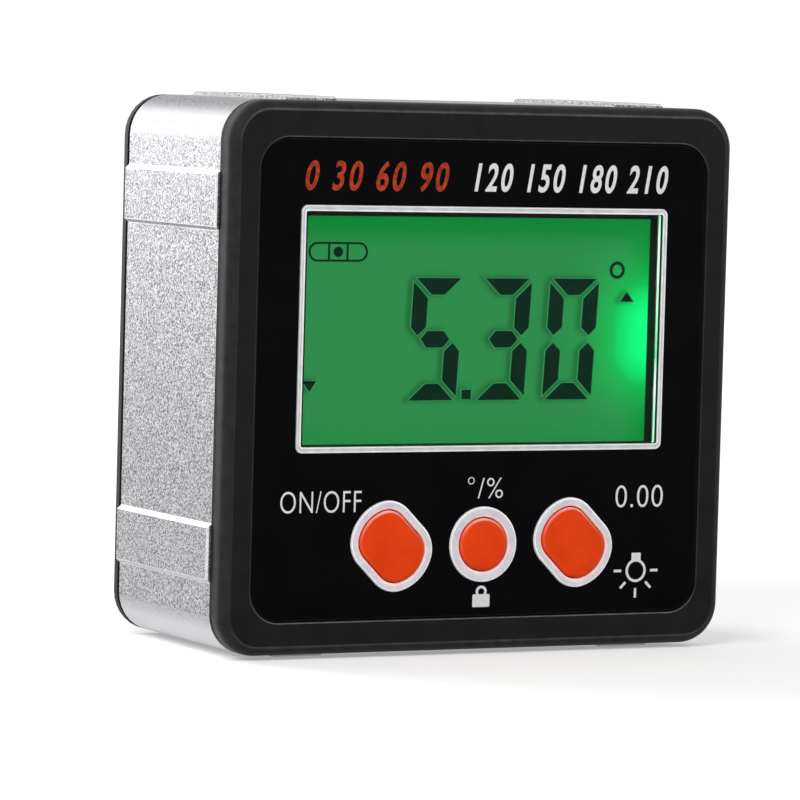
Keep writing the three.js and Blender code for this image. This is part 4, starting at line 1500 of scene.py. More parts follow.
@dataclass
class FacePanel:
    """The black glossy panel with holes for the window trim and the button rings."""

    corner: float = 3.0
    chamfer: float = 0.08
    # highlight: the painted highlight on the chamfer round the panel's front.
    wear: EdgeHighlight = EdgeHighlight(top=0.5, side=0.3, bottom=0.5)

    def build(self, holes: list[Outline]) -> None:
        """Makes the panel.

        Args:
            holes: The outlines of its holes.
        """
        box = span("face_panel")
        outer = Rounded.about(box, self.corner)
        skin = Skin()
        rings = skin.walls(
            [
                (outer.outline(), box.y_high),
                (outer.outline(), box.y_low + self.chamfer, self.wear),
                (outer.outline(self.chamfer), box.y_low, self.wear),
                (outer.outline(2 * self.chamfer), box.y_low),
            ]
        )
        front_holes = [skin.ring(hole, box.y_low) for hole in holes]
        back_holes = [skin.ring(hole, box.y_high) for hole in holes]
        for first, second in zip(front_holes, back_holes):
            skin.wall(first, second)
        skin.cap(rings[-1], *front_holes)
        skin.cap(rings[0], *back_holes)
        panel = skin.finish("panel", GLOSS_PANEL)
        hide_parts("face_panel")


@dataclass
class DisplayWindow:
    """The clear window and the trim line round it."""

    trim_corner: float = 0.68
    trim_width: float = 0.6
    trim_side: float = 0.5
    window_corner: float = 0.17
    gap: float = 0.05
    bead: float = 0.09
    bead_flat: float = 1.4
    bead_reach: float = 2.2
    valley: float = 0.05
    opening_ledge: float = 0.25
    opening_foot: float = 0.08
    pane_edge: float = 0.06

    def trim_shape(self, spare: float = 0.0) -> Rounded:
        """Gives the trim's outer shape, larger all round by the spare."""
        return Rounded.about(span("window_trim"), self.trim_corner + spare, spare)

    def opening(self) -> Outline:
        """Draws the opening behind the window.

        Returns:
            Its outline.
        """
        inset = self.trim_width + self.opening_ledge
        low = self.trim_width + self.opening_foot
        box = span("window_trim")
        shape = Rounded(
            box.x_low + inset, box.x_high - inset, box.z_low + low, box.z_high - inset, self.window_corner,
        )
        return shape.outline()

    def build(self) -> None:
        """Makes the trim line with two raised edges, and the pane inside it."""
        box = span("window_trim")
        outer = self.trim_shape()
        bead, width, side = self.bead, self.trim_width, self.trim_side
        in_bead, past_bead = self.bead_flat * bead, self.bead_reach * bead
        skin = Skin()
        front = box.y_low
        inner = Rounded(
            box.x_low + side, box.x_high - side, box.z_low + width, box.z_high - width, self.window_corner,
        )
        # The bead edges carry a painted highlight; the valley between them carries none.
        rings = skin.loft(
            [
                (outer.outline(), box.y_high),
                (outer.outline(), front + bead, even(0.5)),
                (outer.outline(bead / 2), front, even(0.8)),
                (outer.outline(in_bead), front, even(0.8)),
                (outer.outline(past_bead), front + self.valley),
                (inner.outline(-past_bead), front + self.valley),
                (inner.outline(-in_bead), front, even(1.0)),
                (inner.outline(-bead / 2), front, even(1.0)),
                (inner.outline(), front + bead, even(0.6)),
                (inner.outline(), box.y_high),
            ],
            looped=True,
        )
        # The inner wall takes the second finish: painted shade with the display's green reflection.
        skin.repaint(rings[-2:])
        trim = skin.finish("trim_line", SILVER_TRIM, TRIM_WALL_SHADE)
        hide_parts("window_trim")
        self.build_pane()

    def build_pane(self) -> None:
        """Makes the clear pane; the faces at its right-hand edge carry a painted glow."""
        box = span("display_window")
        shape = Rounded.about(box, self.window_corner - self.gap)
        edge = self.pane_edge
        skin = Skin()
        skin.loft(
            [
                (shape.outline(edge), box.y_low),
                (shape.outline(), box.y_low + edge),
                (shape.outline(), box.y_high),
            ]
        )
        # Painted glow on the faces at the right-hand edge.
        for face in skin.mesh.faces:
            lit = all(vert.co.x > box.x_high - shape.corner for vert in face.verts)
            face.material_index = 1 if lit else 0
        pane = skin.finish("window_pane", PANE, PANE_EDGE_GLOW)
        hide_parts("display_window")


class Segment(Enum):
    """The seven bars of a figure on the display."""

    TOP = "a"
    UPPER_RIGHT = "b"
    LOWER_RIGHT = "c"
    BOTTOM = "d"
    LOWER_LEFT = "e"
    UPPER_LEFT = "f"
    MIDDLE = "g"


FIGURES = {"0": "abcdef", "3": "abgcd", "5": "afgcd"}


@dataclass
class DisplayMarks:
    """What the display shows: three figures with a point, a degree ring, arrows and a level vial."""

    figures: str = "530"
    centres: tuple[float, ...] = (-3.7, 3.88, 11.46)
    width: float = 5.48
    bottom: float = 24.63
    height: float = 11.95
    stroke: float = 1.63
    slant: float = 0.052
    outer_mitre: float = 0.42
    inner_mitre: float = 1.97
    bar_end: float = 0.3
    bar_inner_end: float = 2.05
    waist: float = 1.15
    waist_tip: float = 0.38
    waist_tip_in: float = 0.76
    middle_tip: float = 1.17
    middle_flat: float = 1.85
    middle_half: float = 0.82
    point: tuple[Point, ...] = ((-0.59, 24.7), (0.43, 24.7), (0.43, 25.65), (-0.59, 25.65))
    up_arrow: tuple[Point, ...] = ((17.0, 34.32), (18.44, 34.32), (17.7, 35.26))
    down_arrow: tuple[Point, ...] = ((-18.02, 26.6), (-17.24, 25.53), (-16.52, 26.6))

    def bar(self, segment: Segment) -> Outline:
        """Draws one bar of a figure, about the figure's middle.

        Args:
            segment: The bar.

        Returns:
            Its outline, upright.
        """
        w, h, s = self.width / 2, self.height / 2, self.stroke
        level = [
            (-w + self.bar_end, h), (w - self.bar_end, h),
            (w - self.bar_inner_end, h - s), (-w + self.bar_inner_end, h - s),
        ]
        upright = [
            (-w, h - self.outer_mitre), (-w + s, h - self.inner_mitre), (-w + s, self.waist),
            (-w + self.waist_tip_in, self.waist_tip), (-w, self.waist),
        ]
        tip, flat, half = w - self.middle_tip, w - self.middle_flat, self.middle_half
        middle = [(-tip, 0.0), (-flat, half), (flat, half), (tip, 0.0), (flat, -half), (-flat, -half)]
        across = {Segment.UPPER_RIGHT, Segment.LOWER_RIGHT}
        down = {Segment.BOTTOM, Segment.LOWER_RIGHT, Segment.LOWER_LEFT}
        shape = upright
        if segment in (Segment.TOP, Segment.BOTTOM):
            shape = level
        if segment is Segment.MIDDLE:
            shape = middle
        flip_x = -1 if segment in across else 1
        flip_z = -1 if segment in down else 1
        return [(x * flip_x, z * flip_z) for x, z in shape]

    def leaned(self, outline: Outline, centre: float) -> Outline:
        """Leans an outline with the figures and moves it to its figure's place."""
        middle = self.bottom + self.height / 2
        return [(centre + x + self.slant * z, middle + z) for x, z in outline]

    def bars(self) -> list[Outline]:
        """Draws all bars of all figures.

        Returns:
            Their outlines.
        """
        shapes = []
        for figure, centre in zip(self.figures, self.centres):
            for letter in FIGURES[figure]:
                shapes.append(self.leaned(self.bar(Segment(letter)), centre))
        return shapes

    def signs(self) -> list[Outline]:
        """Gives the outlines of the point and the two arrows."""
        return [list(sign) for sign in (self.point, self.up_arrow, self.down_arrow)]


@dataclass
class Display:
    """The display behind the window: marks, glass, films, light guide and what holds them."""

    marks_front: float = -9.26
    marks_thickness: float = 0.05
    rim: float = 0.09
    rim_back: float = -9.17
    cell: float = 0.25
    film_gap: float = 0.01
    shade_reach: float = 0.55
    shade_depth: float = 0.42
    ring_x: float = 16.52
    ring_z: float = 37.44
    ring_radius: float = 0.86
    ring_stroke: float = 0.31
    vial_x: float = -14.5
    vial_z: float = 39.05
    vial_half: float = 3.2
    vial_radius: float = 0.95
    vial_stroke: float = 0.2
    line_corner: float = 0.02
    bubble_radius: float = 0.5
    gasket_x: Point = (-18.44, 19.7)
    gasket_z: Point = (20.38, 42.55)
    gasket_corner: float = 0.25

    def build(self, marks: DisplayMarks) -> None:
        """Makes the marks and the lit sheet, and dresses the display's other nodes.

        Args:
            marks: What the display shows.
        """
        self.build_marks(marks)
        self.build_light(marks)
        self.build_gasket()
        dress("front_polarizer", FILM)
        dress("light_guide", LIGHT_GUIDE)
        dress("display_glass", GLASS)
        dress("contact_strip", STRIP_RUBBER)
        for node in ("light_reflector", "backlight_led", "display_frame"):
            dress(node, WHITE_PLASTIC)

    def build_marks(self, marks: DisplayMarks) -> None:
        """Makes the dark marks with the thin light rim round each.

        Args:
            marks: What the display shows.
        """
        front = self.marks_front
        back = front + self.marks_thickness
        dark = Skin()
        rims = Skin()
        for outline in marks.bars() + marks.signs():
            dark.plate(outline, front, back)
            rims.plate(grown(outline, self.rim), back, self.rim_back)
        dark.stroke(Round(self.ring_x, self.ring_z, self.ring_radius), self.ring_stroke, front, back)
        x, z, half, radius = self.vial_x, self.vial_z, self.vial_half, self.vial_radius
        vial = Rounded(x - half, x + half, z - radius, z + radius, radius)
        dark.stroke(vial, self.vial_stroke, front, back)
        dark.plate(Round(x, z, self.bubble_radius).outline(), front, back)
        for side in (-1, 1):
            middle = x + side * 2 * self.bubble_radius
            half = self.vial_stroke / 2
            line = Rounded(middle - half, middle + half, z - radius, z + radius, self.line_corner)
            dark.plate(line.outline(), front, back)
        dark.finish("display_figures", SEGMENT_DARK)
        rims.finish("display_figure_rims", SEGMENT_RIM)

    def build_light(self, marks: DisplayMarks) -> None:
        """Makes the rear film with its lit front, on which the marks cast a soft shade.

        Args:
            marks: What the display shows.
        """
        box = span("rear_polarizer")
        columns = round((box.x_high - box.x_low) / self.cell)
        rows = round((box.z_high - box.z_low) / self.cell)
        xs = np.linspace(box.x_low, box.x_high, columns + 1)
        zs = np.linspace(box.z_low, box.z_high, rows + 1)
        grid = np.stack(np.meshgrid(xs, zs, indexing="ij"), axis=-1)
        shade = self.shade_of(grid, marks.bars() + marks.signs())
        mesh = bmesh.new()
        layer = mesh.verts.layers.float.new("shade")
        depth = box.y_low + self.film_gap
        front = [[mesh.verts.new((x, depth, z)) for z in zs] for x in xs]
        for row, shades in zip(front, shade):
            for vert, share in zip(row, shades):
                vert[layer] = float(share)
        for here, there in zip(front, front[1:]):
            for k in range(rows):
                mesh.faces.new((here[k], there[k], there[k + 1], here[k + 1]))
        low, high = (box.x_low, box.z_low), (box.x_high, box.z_high)
        corners = [low, (high[0], low[1]), high, (low[0], high[1])]
        back = [mesh.verts.new((x, box.y_high, z)) for x, z in corners]
        across = list(zip(*front))
        rim = [across[0], front[-1], across[-1][::-1], front[0][::-1]]
        faces = [mesh.faces.new(back)]
        for side, row in enumerate(rim):
            faces.append(mesh.faces.new((*row, back[(side + 1) % 4], back[side])))
        for face in faces:
            face.material_index = 1
        film = place("lit_film", ended(mesh, "lit_film"), BACKLIGHT, LIGHT_GUIDE)
        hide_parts("rear_polarizer")

    def build_gasket(self) -> None:
        """Makes the gasket, whose inner edge shows as a thin black border of the display."""
        box = span("display_gasket")
        outer = Rounded.about(box, self.gasket_corner)
        inner = Rounded(*self.gasket_x, *self.gasket_z, self.gasket_corner)
        skin = Skin()
        skin.border(outer.outline(), inner.outline(), box.y_low, box.y_high)
        gasket = skin.finish("gasket", FOAM)
        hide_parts("display_gasket")

    def shade_of(self, grid: np.ndarray, outlines: list[Outline]) -> np.ndarray:
        """Works out how much the marks shade each point of the lit sheet.

        Args:
            grid: The sheet's points.
            outlines: The marks.

        Returns:
            The shade at each point, from 0 to 1.
        """
        nearest = np.full(grid.shape[:2], np.inf)
        for outline in outlines:
            points = np.array(outline)
            inside = np.zeros(grid.shape[:2], bool)
            for a, b in zip(points, np.roll(points, -1, axis=0)):
                step = b - a
                share = np.clip(((grid - a) @ step) / (step @ step), 0, 1)
                gap = np.linalg.norm(grid - (a + share[..., None] * step), axis=-1)
                nearest = np.minimum(nearest, gap)
                crosses = (a[1] > grid[..., 1]) != (b[1] > grid[..., 1])
                with np.errstate(divide="ignore", invalid="ignore"):
                    at = a[0] + (grid[..., 1] - a[1]) / (b[1] - a[1]) * (b[0] - a[0])
                inside ^= crosses & (grid[..., 0] < at)
            nearest[inside] = 0.0
        fade = np.clip(1 - nearest / self.shade_reach, 0, 1)
        return self.shade_depth * fade * fade * (3 - 2 * fade)


# Buttons


@dataclass
class Button:
    """One button: a silver ring, an orange cap, and the push switch behind it."""

    name: str
    ring_width: float
    clearance: float = 0.09
    edge_in: float = 0.28
    edge_deep: float = 0.3
    edge_steps: int = 6
    crown: float = 0.05
    flange: float = 0.55
    flange_back: float = 0.6
    stem: float = 1.2
    ring_edge: float = 0.16
    # Steps of the ring's outer edge: inwards and backwards in shares of the edge's width, and their share of
    # painted highlight.
    ring_outside: tuple[Place, ...] = (
        (0.0, 1.0, 0.8), (1 / 3, 1 / 4, 1.0), (1.0, 0.0, 1.0), (1.3, 0.0, 0.0),
    )
    ring_inside: tuple[Point, ...] = ((1.5, 0.0), (1.0, 1 / 6), (1 / 3, 1 / 2), (0.0, 1.2))
    # side_highlight: the cap edge's painted highlight on its sides, as a share of that on its top.
    side_highlight: float = 0.08
    floor_gap: float = 0.15
    crown_reach: float = 0.9
    crown_shares: tuple[float, ...] = (0.12, 0.35, 0.6, 0.85)
    stem_overlap: float = 0.02

    def shape(self, spare: float = 0.0) -> Shape:
        """Gives the ring's outer shape.

        Args:
            spare: How much larger it is all round.

        Returns:
            The shape.
        """
        box = span(f"button_ring_{self.name}")
        if self.name == "middle":
            return Round(box.x, box.z, (box.x_high - box.x_low) / 2 + spare)
        shape = Flatted(box.x, box.z)
        return Flatted(box.x, box.z, shape.radius + spare, shape.flat + spare, shape.blend + spare)

    def build(self) -> None:
        """Makes the ring and the cap, and dresses the switch."""
        self.build_ring()
        self.build_cap()
        dress(f"switch_body_{self.name}", SWITCH_STEEL)
        dress(f"switch_plunger_{self.name}", CHIP_BLACK)

    def build_ring(self) -> None:
        """Makes the ring with rounded edges, both drawn in shares of the edge's width."""
        node = f"button_ring_{self.name}"
        box = span(node)
        shape = self.shape()
        width, edge, front = self.ring_width, self.ring_edge, box.y_low
        stations = [(shape.outline(), box.y_high)]
        for inwards, deep, wear in self.ring_outside:
            stations.append((shape.outline(inwards * edge), front + deep * edge, even(wear)))
        inner_from = len(stations)
        for outwards, deep in self.ring_inside:
            stations.append((shape.outline(width - outwards * edge), front + deep * edge))
        stations.append((shape.outline(width), box.y_high))
        skin = Skin()
        rings = skin.loft(stations, looped=True)
        # The inner edge takes the second finish, a painted reflection of the orange cap.
        skin.repaint(rings[inner_from:])
        ring = skin.finish(f"ring_{self.name}", RING_SILVER, RING_INNER_REFLECTION)
        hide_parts(node)

    def build_cap(self) -> None:
        """Makes the cap: a softly crowned face with a rounded edge, a flange and a stem."""
        node = f"button_cap_{self.name}"
        box = span(node)
        switch = span(f"switch_plunger_{self.name}")
        floor = span("face_panel").y_high
        shape = self.shape()
        side = self.ring_width + self.clearance
        rim_front = box.y_low + self.crown
        flange_front = floor + FrontBezel.plate + self.floor_gap
        flange_back = flange_front + self.flange_back
        edge = quarter_round(shape, side, rim_front, self.edge_in, self.edge_deep, self.edge_steps)
        shares = [math.sin(math.pi * i / self.edge_steps) for i in range(self.edge_steps + 1)]
        # Painted highlight along the rounded edge, strongest at the top.
        painted_highlight = [
            (*station, EdgeHighlight(top=share, side=self.side_highlight * share, turn=2))
            for station, share in zip(edge, shares)
        ]
        skin = Skin()
        stations = [
            (shape.outline(side - self.flange), flange_back),
            (shape.outline(side - self.flange), flange_front),
            (shape.outline(side), flange_front),
            *painted_highlight,
        ]
        for share in self.crown_shares:
            rise = self.crown * math.sin(share * math.pi / 2)
            inwards = side + self.edge_in + share * self.crown_reach
            stations.append((shape.outline(inwards), rim_front - rise))
        skin.loft(stations)
        stem = Round(box.x, box.z, self.stem).outline()
        skin.plate(stem, flange_back - self.stem_overlap, switch.y_low)
        cap = skin.finish(f"cap_{self.name}", ORANGE_RUBBER, body=f"{self.name}_button")
        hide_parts(node)


# Print on the panel


@dataclass(frozen=True)
class Print:
    """A line of plain figures or signs that fills a place on the panel."""

    name: str
    text: str
    x_low: float
    x_high: float
    z_low: float
    z_high: float
    finish: Finish
    lean: float = 0.0
    weight: float = 0.0
    spacing: float = 1.0


@dataclass
class PanelPrint:
    """The print on the panel: a row of angles, the switch label, signs and a lamp sign."""

    ink: float = 0.02
    stroke: float = 0.26
    glyph_steps: int = 5
    glyph_depth: float = 0.01
    lamp_x: float = 17.95
    lamp_z: float = 7.8
    lamp_radius: float = 1.15
    cap_half: float = 0.52
    cap_foot: float = 0.15
    cap_top: float = 0.62
    cap_corner: float = 0.03
    rays: tuple[Place, ...] = (
        (0, 1.65, 2.5), (180, 1.65, 2.5), (-45, 1.6, 2.45), (-90, 1.75, 2.7), (-135, 1.6, 2.45),
    )
    lock: Rounded = Rounded(0.6 - 0.95, 0.6 + 0.95, 4.6, 4.6 + 1.25, 0.15)
    bow: Rounded = Rounded(0.6 - 0.6, 0.6 + 0.6, 4.6 + 0.9, 4.6 + 2.1, 0.59)

    def lines(self) -> list[Print]:
        """Lists the printed lines.

        Returns:
            The lines.
        """
        bold = {"lean": 0.24, "weight": 0.022, "spacing": 1.25}
        thin = {"weight": -0.01, "spacing": 1.08}
        return [
            Print("scale_low", "0 30 60 90", -19.7, -4.2, 45.0, 47.95, ORANGE_INK, **bold),
            Print("scale_high", "120 150 180 210", -1.4, 20.3, 45.1, 47.9, WHITE_INK, **bold),
            Print("switch_label", "ON/OFF", -21.5, -12.8, 14.1, 16.2, WHITE_INK, **thin),
            Print("unit_sign", "°/%", -1.2, 2.7, 15.25, 17.35, WHITE_INK, **thin),
            Print("zero_sign", "0.00", 15.4, 20.8, 14.1, 16.3, WHITE_INK, **thin),
        ]

    def build(self) -> None:
        """Makes all print, a hair proud of the panel."""
        for line in self.lines():
            self.build_line(line)
        self.build_lamp()
        self.build_lock()

    def build_line(self, line: Print) -> None:
        """Makes one printed line from its letters' outlines.

        Args:
            line: The line.
        """
        curve = bpy.data.curves.new(line.name, "FONT")
        curve.body = line.text
        curve.size = 1.0
        curve.resolution_u = self.glyph_steps
        curve.offset = line.weight
        curve.space_character = line.spacing
        curve.extrude = self.glyph_depth
        letters = added(line.name, curve)
        graph = bpy.context.evaluated_depsgraph_get()
        data = bpy.data.meshes.new_from_object(letters.evaluated_get(graph), depsgraph=graph)
        bpy.data.objects.remove(letters)
        shear = Matrix.Identity(4)
        shear[0][1] = line.lean
        data.transform(shear)
        xs = [v.co.x for v in data.vertices]
        ys = [v.co.y for v in data.vertices]
        wide = (line.x_high - line.x_low) / (max(xs) - min(xs))
        high = (line.z_high - line.z_low) / (max(ys) - min(ys))
        front = span("face_panel").y_low
        fit = Matrix(
            (
                (wide, 0.0, 0.0, line.x_low - min(xs) * wide),
                (0.0, 0.0, -1.0, front - self.ink / 2),
                (0.0, high, 0.0, line.z_low - min(ys) * high),
                (0.0, 0.0, 0.0, 1.0),
            )
        )
        place(line.name, settle(data, fit), line.finish)

    def build_lamp(self) -> None:
        """Makes the lamp sign: a ring, a square cap on it and five rays."""
        front = span("face_panel").y_low - self.ink
        back = front + self.ink
        x, z, half = self.lamp_x, self.lamp_z, self.cap_half
        skin = Skin()
        skin.stroke(Round(x, z, self.lamp_radius), self.stroke, front, back)
        top = z + self.lamp_radius
        cap = Rounded(x - half, x + half, top - self.cap_foot, top + self.cap_top, self.cap_corner)
        skin.plate(cap.outline(), front - PRINT_OVERLAP, back)
        middle = Vector((x, z))
        for degrees, start, end in self.rays:
            angle = math.radians(degrees)
            along = Vector((math.cos(angle), math.sin(angle)))
            aside = Vector((-along.y, along.x)) * self.stroke / 2
            near, far = middle + along * start, middle + along * end
            ray = [tuple(near - aside), tuple(far - aside), tuple(far + aside), tuple(near + aside)]
            skin.plate(ray, front, back)
        skin.finish("lamp_sign", WHITE_INK)

    def build_lock(self) -> None:
        """Makes the padlock sign below the middle button, for keeping a reading."""
        front = span("face_panel").y_low - self.ink
        back = front + self.ink
        skin = Skin()
        skin.plate(self.lock.outline(), front, back)
        skin.stroke(self.bow, self.stroke, front - PRINT_OVERLAP, back)
        skin.finish("hold_sign", WHITE_INK)


# Back


@dataclass
class BackMoulding:
    """A black moulding of the back, with soft edges: the cover or the battery door."""

    node: str
    name: str
    body: str
    edge: float = 0.12

    def build(self) -> None:
        """Makes it from the CAD solid, its edges softened and given a painted highlight."""
        colours = (BACK_BLACK, BLACK_EDGE_HIGHLIGHT)
        moulding = softened(self.node, self.name, self.edge, *colours, body=self.body)
        moulding.modifiers["soft_edges"].material = 1


@dataclass
class Screws:
    """Cross-slotted screws of one size, driven from the back."""

    name: str
    nodes: tuple[str, ...]
    head_edge: float = 0.25
    slot_length: float = 2.2
    slot_width: float = 0.5
    slot_depth: float = 0.6
    slot_taper: float = 0.8
    tip_in: float = 0.35
    tip_length: float = 0.5
    point_skip: int = 4
    seed: int = 7

    def build(self, finish: Finish, shaft: float, head_height: float) -> None:
        """Makes one screw and sets it in each place, turned at random.

        Args:
            finish: The screws' finish.
            shaft: The shaft's radius.
            head_height: How high the head is.
        """
        boxes = [span(node) for node in self.nodes]
        first = boxes[0]
        head = (first.x_high - first.x_low) / 2
        length = first.y_high - first.y_low
        pattern = self.pattern(head, head_height, shaft, length)
        tree = Tree(self.name)
        screw = tree.size("Screw", pattern, "NodeSocketObject")
        seed = tree.size("Seed", self.seed, "NodeSocketInt")
        info = tree.node("GeometryNodeObjectInfo", {"Object": screw})
        places = tree.node("GeometryNodeJoinGeometry")
        for i, box in enumerate(boxes):
            spot = tree.size(f"Place {i + 1}", (box.x, box.y_high, box.z), "NodeSocketVector")
            point = tree.node("GeometryNodePoints", {"Count": 1, "Position": spot})
            tree.join(point.outputs["Points"], places.inputs["Geometry"])
        turns = {"Seed": seed, "Min": (0.0, 0.0, 0.0), "Max": (0.0, math.tau, 0.0)}
        turn = tree.node("FunctionNodeRandomValue", turns, data_type="FLOAT_VECTOR")
        set_in = tree.node(
            "GeometryNodeInstanceOnPoints",
            {
                "Points": places.outputs["Geometry"],
                "Instance": info.outputs["Geometry"],
                "Rotation": turn.outputs["Value"],
            },
        )
        data = tree.grow(set_in.outputs["Instances"], finish)
        bpy.data.objects.remove(pattern)
        piece = place(self.name, settle(data, Matrix.Identity(4)), finish)
        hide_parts(*self.nodes)

    def pattern(self, head: float, head_height: float, shaft: float, length: float) -> bpy.types.Object:
        """Makes the screw that the others are copies of, its head's top at the origin.

        Args:
            head: The head's radius.
            head_height: How high the head is.
            shaft: The shaft's radius.
            length: The whole length.

        Returns:
            The screw's object, which isn't part of the scene's pieces.
        """
        edge = self.head_edge
        skin = Skin()
        circle = Round(0.0, 0.0, head)
        thin = Round(0.0, 0.0, shaft)
        stations = [
            (thin.outline(self.tip_in * shaft), -length),
            (thin.outline(), -length + self.tip_length * shaft),
            (thin.outline(), -head_height),
            (circle.outline(), -head_height),
            (circle.outline(), -edge),
            (circle.outline(edge / 3), -edge / 3),
            (circle.outline(edge), 0.0),
        ]
        rings = skin.walls([(outline[:: self.point_skip], depth) for outline, depth in stations])
        skin.cap(rings[0])
        self.slotted_top(skin, rings[-1])
        bmesh.ops.recalc_face_normals(skin.mesh, faces=skin.mesh.faces)
        name = f"{self.name}_pattern"
        return added(name, stored(skin.mesh, name))

    def slotted_top(self, skin: Skin, rim: Ring) -> None:
        """Closes a head's top with a cross-shaped slot in it.

        Args:
            skin: The screw's surface.
            rim: The edge of the head's top.
        """
        long, thin = self.slot_length / 2, self.slot_width / 2
        corner = [(long, -thin), (long, thin), (thin, thin)]
        cross = []
        for turns in range(4):
            for x, z in corner:
                for _ in range(turns):
                    x, z = -z, x
                cross.append((x, z))
        deep = [(x * self.slot_taper, z * self.slot_taper) for x, z in cross]
        lip = skin.ring(cross, 0.0)
        floor = skin.ring(deep, -self.slot_depth)
        skin.cap(rim, lip)
        skin.wall(lip, floor)
        skin.cap(floor)


# Power


@dataclass
class CellPack:
    """Two cells head to tail, with a cone spring at each flat end and contact plates."""

    turns: float = 2.25
    wide: float = 3.4
    narrow: float = 1.4
    wire: float = 0.45
    cell_edge: float = 0.5
    edge_share: float = 0.3
    nub_radius: float = 1.9
    nub_length: float = 0.8
    nub_edge: float = 0.15
    seal: float = 3.2
    seal_drop: float = 0.25
    seal_rise: float = 0.1
    seal_in: float = 0.3
    sides: int = 64
    coil_steps: int = 48
    wire_sides: int = 12

    def build(self) -> None:
        """Makes cells and springs, and dresses the plates and leads."""
        for name, towards, finish in (("upper", 1, CELL_RIGHT), ("lower", -1, CELL_LEFT)):
            self.build_cell(f"battery_{name}", towards, finish)
            self.build_spring(f"battery_spring_{name}", towards)
        for name in ("link", "upper", "lower"):
            dress(f"contact_plate_{name}", PLATED_STEEL)
        dress("battery_lead_upper", BLACK_LEAD)
        dress("battery_lead_lower", RED_LEAD)

    def build_cell(self, node: str, towards: int, finish: Finish) -> None:
        """Makes a cell: a jacketed can, a dark seal and a bright nub.

        Args:
            node: The CAD node that it stands for.
            towards: The side that its nub points to, 1 for the right.
            finish: The jacket.
        """
        box = span(node)
        radius = (box.z_high - box.z_low) / 2
        length = box.x_high - box.x_low
        shoulder = length - self.nub_length
        edge, soft = self.cell_edge, self.edge_share * self.cell_edge
        profile = [
            (radius - 3 * edge, 0.0, 1), (radius - 2 * edge, 0.0, 1), (radius - edge, 0.0, 0),
            (radius - soft, soft, 0), (radius, edge, 0), (radius, shoulder - edge, 0),
            (radius - soft, shoulder - soft, 0), (radius - edge, shoulder, 0),
            (radius - edge, shoulder - self.seal_drop, 1), (self.seal, shoulder - self.seal_drop, 1),
            (self.nub_radius + self.seal_in, shoulder - self.seal_rise, 1), (self.nub_radius, shoulder, 1),
            (self.nub_radius, length - self.nub_edge, 1), (self.nub_radius - self.nub_edge, length, 1),
        ]
        mesh = bmesh.new()
        rings = []
        for r, along, _ in profile:
            x = box.x_low + along if towards > 0 else box.x_high - along
            ring = []
            for i in range(self.sides):
                angle = math.tau * i / self.sides
                y = (box.y_low + box.y_high) / 2 + r * math.cos(angle)
                ring.append(mesh.verts.new((x, y, box.z + r * math.sin(angle))))
            rings.append(ring)
        for (first, second), (_, _, slot) in zip(zip(rings, rings[1:]), profile[1:]):
            for i in range(self.sides):
                j = (i + 1) % self.sides
                mesh.faces.new((first[i], first[j], second[j], second[i])).material_index = slot
        for ring in (rings[0], rings[-1]):
            mesh.faces.new(ring).material_index = 1
        name = node.replace("battery", "cell")
        cell = place(name, ended(mesh, name), finish, PLATED_STEEL)
        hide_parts(node)

    def build_spring(self, node: str, towards: int) -> None:
        """Makes a cone spring that narrows from its plate to its cell.

        Args:
            node: The CAD node that it stands for.
            towards: 1 where the spring's cell points to the right.
        """
        box = span(node)
        name = node.replace("battery_spring", "coil")
        tree = Tree(name)
        wire = self.wire / 2
        coil = tree.node(
            "GeometryNodeCurveSpiral",
            {
                "Resolution": self.coil_steps,
                "Rotations": tree.size("Turns", self.turns),
                "Start Radius": tree.size("Wide Radius", self.wide),
                "End Radius": tree.size("Narrow Radius", self.narrow),
                "Height": tree.size("Height", box.x_high - box.x_low - 2 * wire),
            },
        )
        section = tree.node(
            "GeometryNodeCurvePrimitiveCircle",
            {"Resolution": self.wire_sides, "Radius": tree.size("Wire Radius", wire)},
        )
        tube = tree.node(
            "GeometryNodeCurveToMesh",
            {"Curve": coil.outputs["Curve"], "Profile Curve": section.outputs["Curve"], "Fill Caps": True},
        )
        data = tree.grow(tube.outputs["Mesh"], PLATED_STEEL)
        middle_y = (box.y_low + box.y_high) / 2
        start = box.x_low + wire if towards > 0 else box.x_high - wire
        stand = Matrix(
            (
                (0.0, 0.0, towards, start),
                (1.0, 0.0, 0.0, middle_y),
                (0.0, 1.0, 0.0, box.z),
                (0.0, 0.0, 0.0, 1.0),
            )
        )
        spring = place(name, settle(data, stand), PLATED_STEEL)
        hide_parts(node)


@dataclass
class CircuitBoard:
    """The board and its chips."""


    def build(self) -> None:
        """Dresses the board's nodes."""
        dress("circuit_board", SOLDER_MASK)
        dress("tilt_sensor", CHIP_BLACK)
        dress("controller_chip", CHIP_BLACK)


# Studio


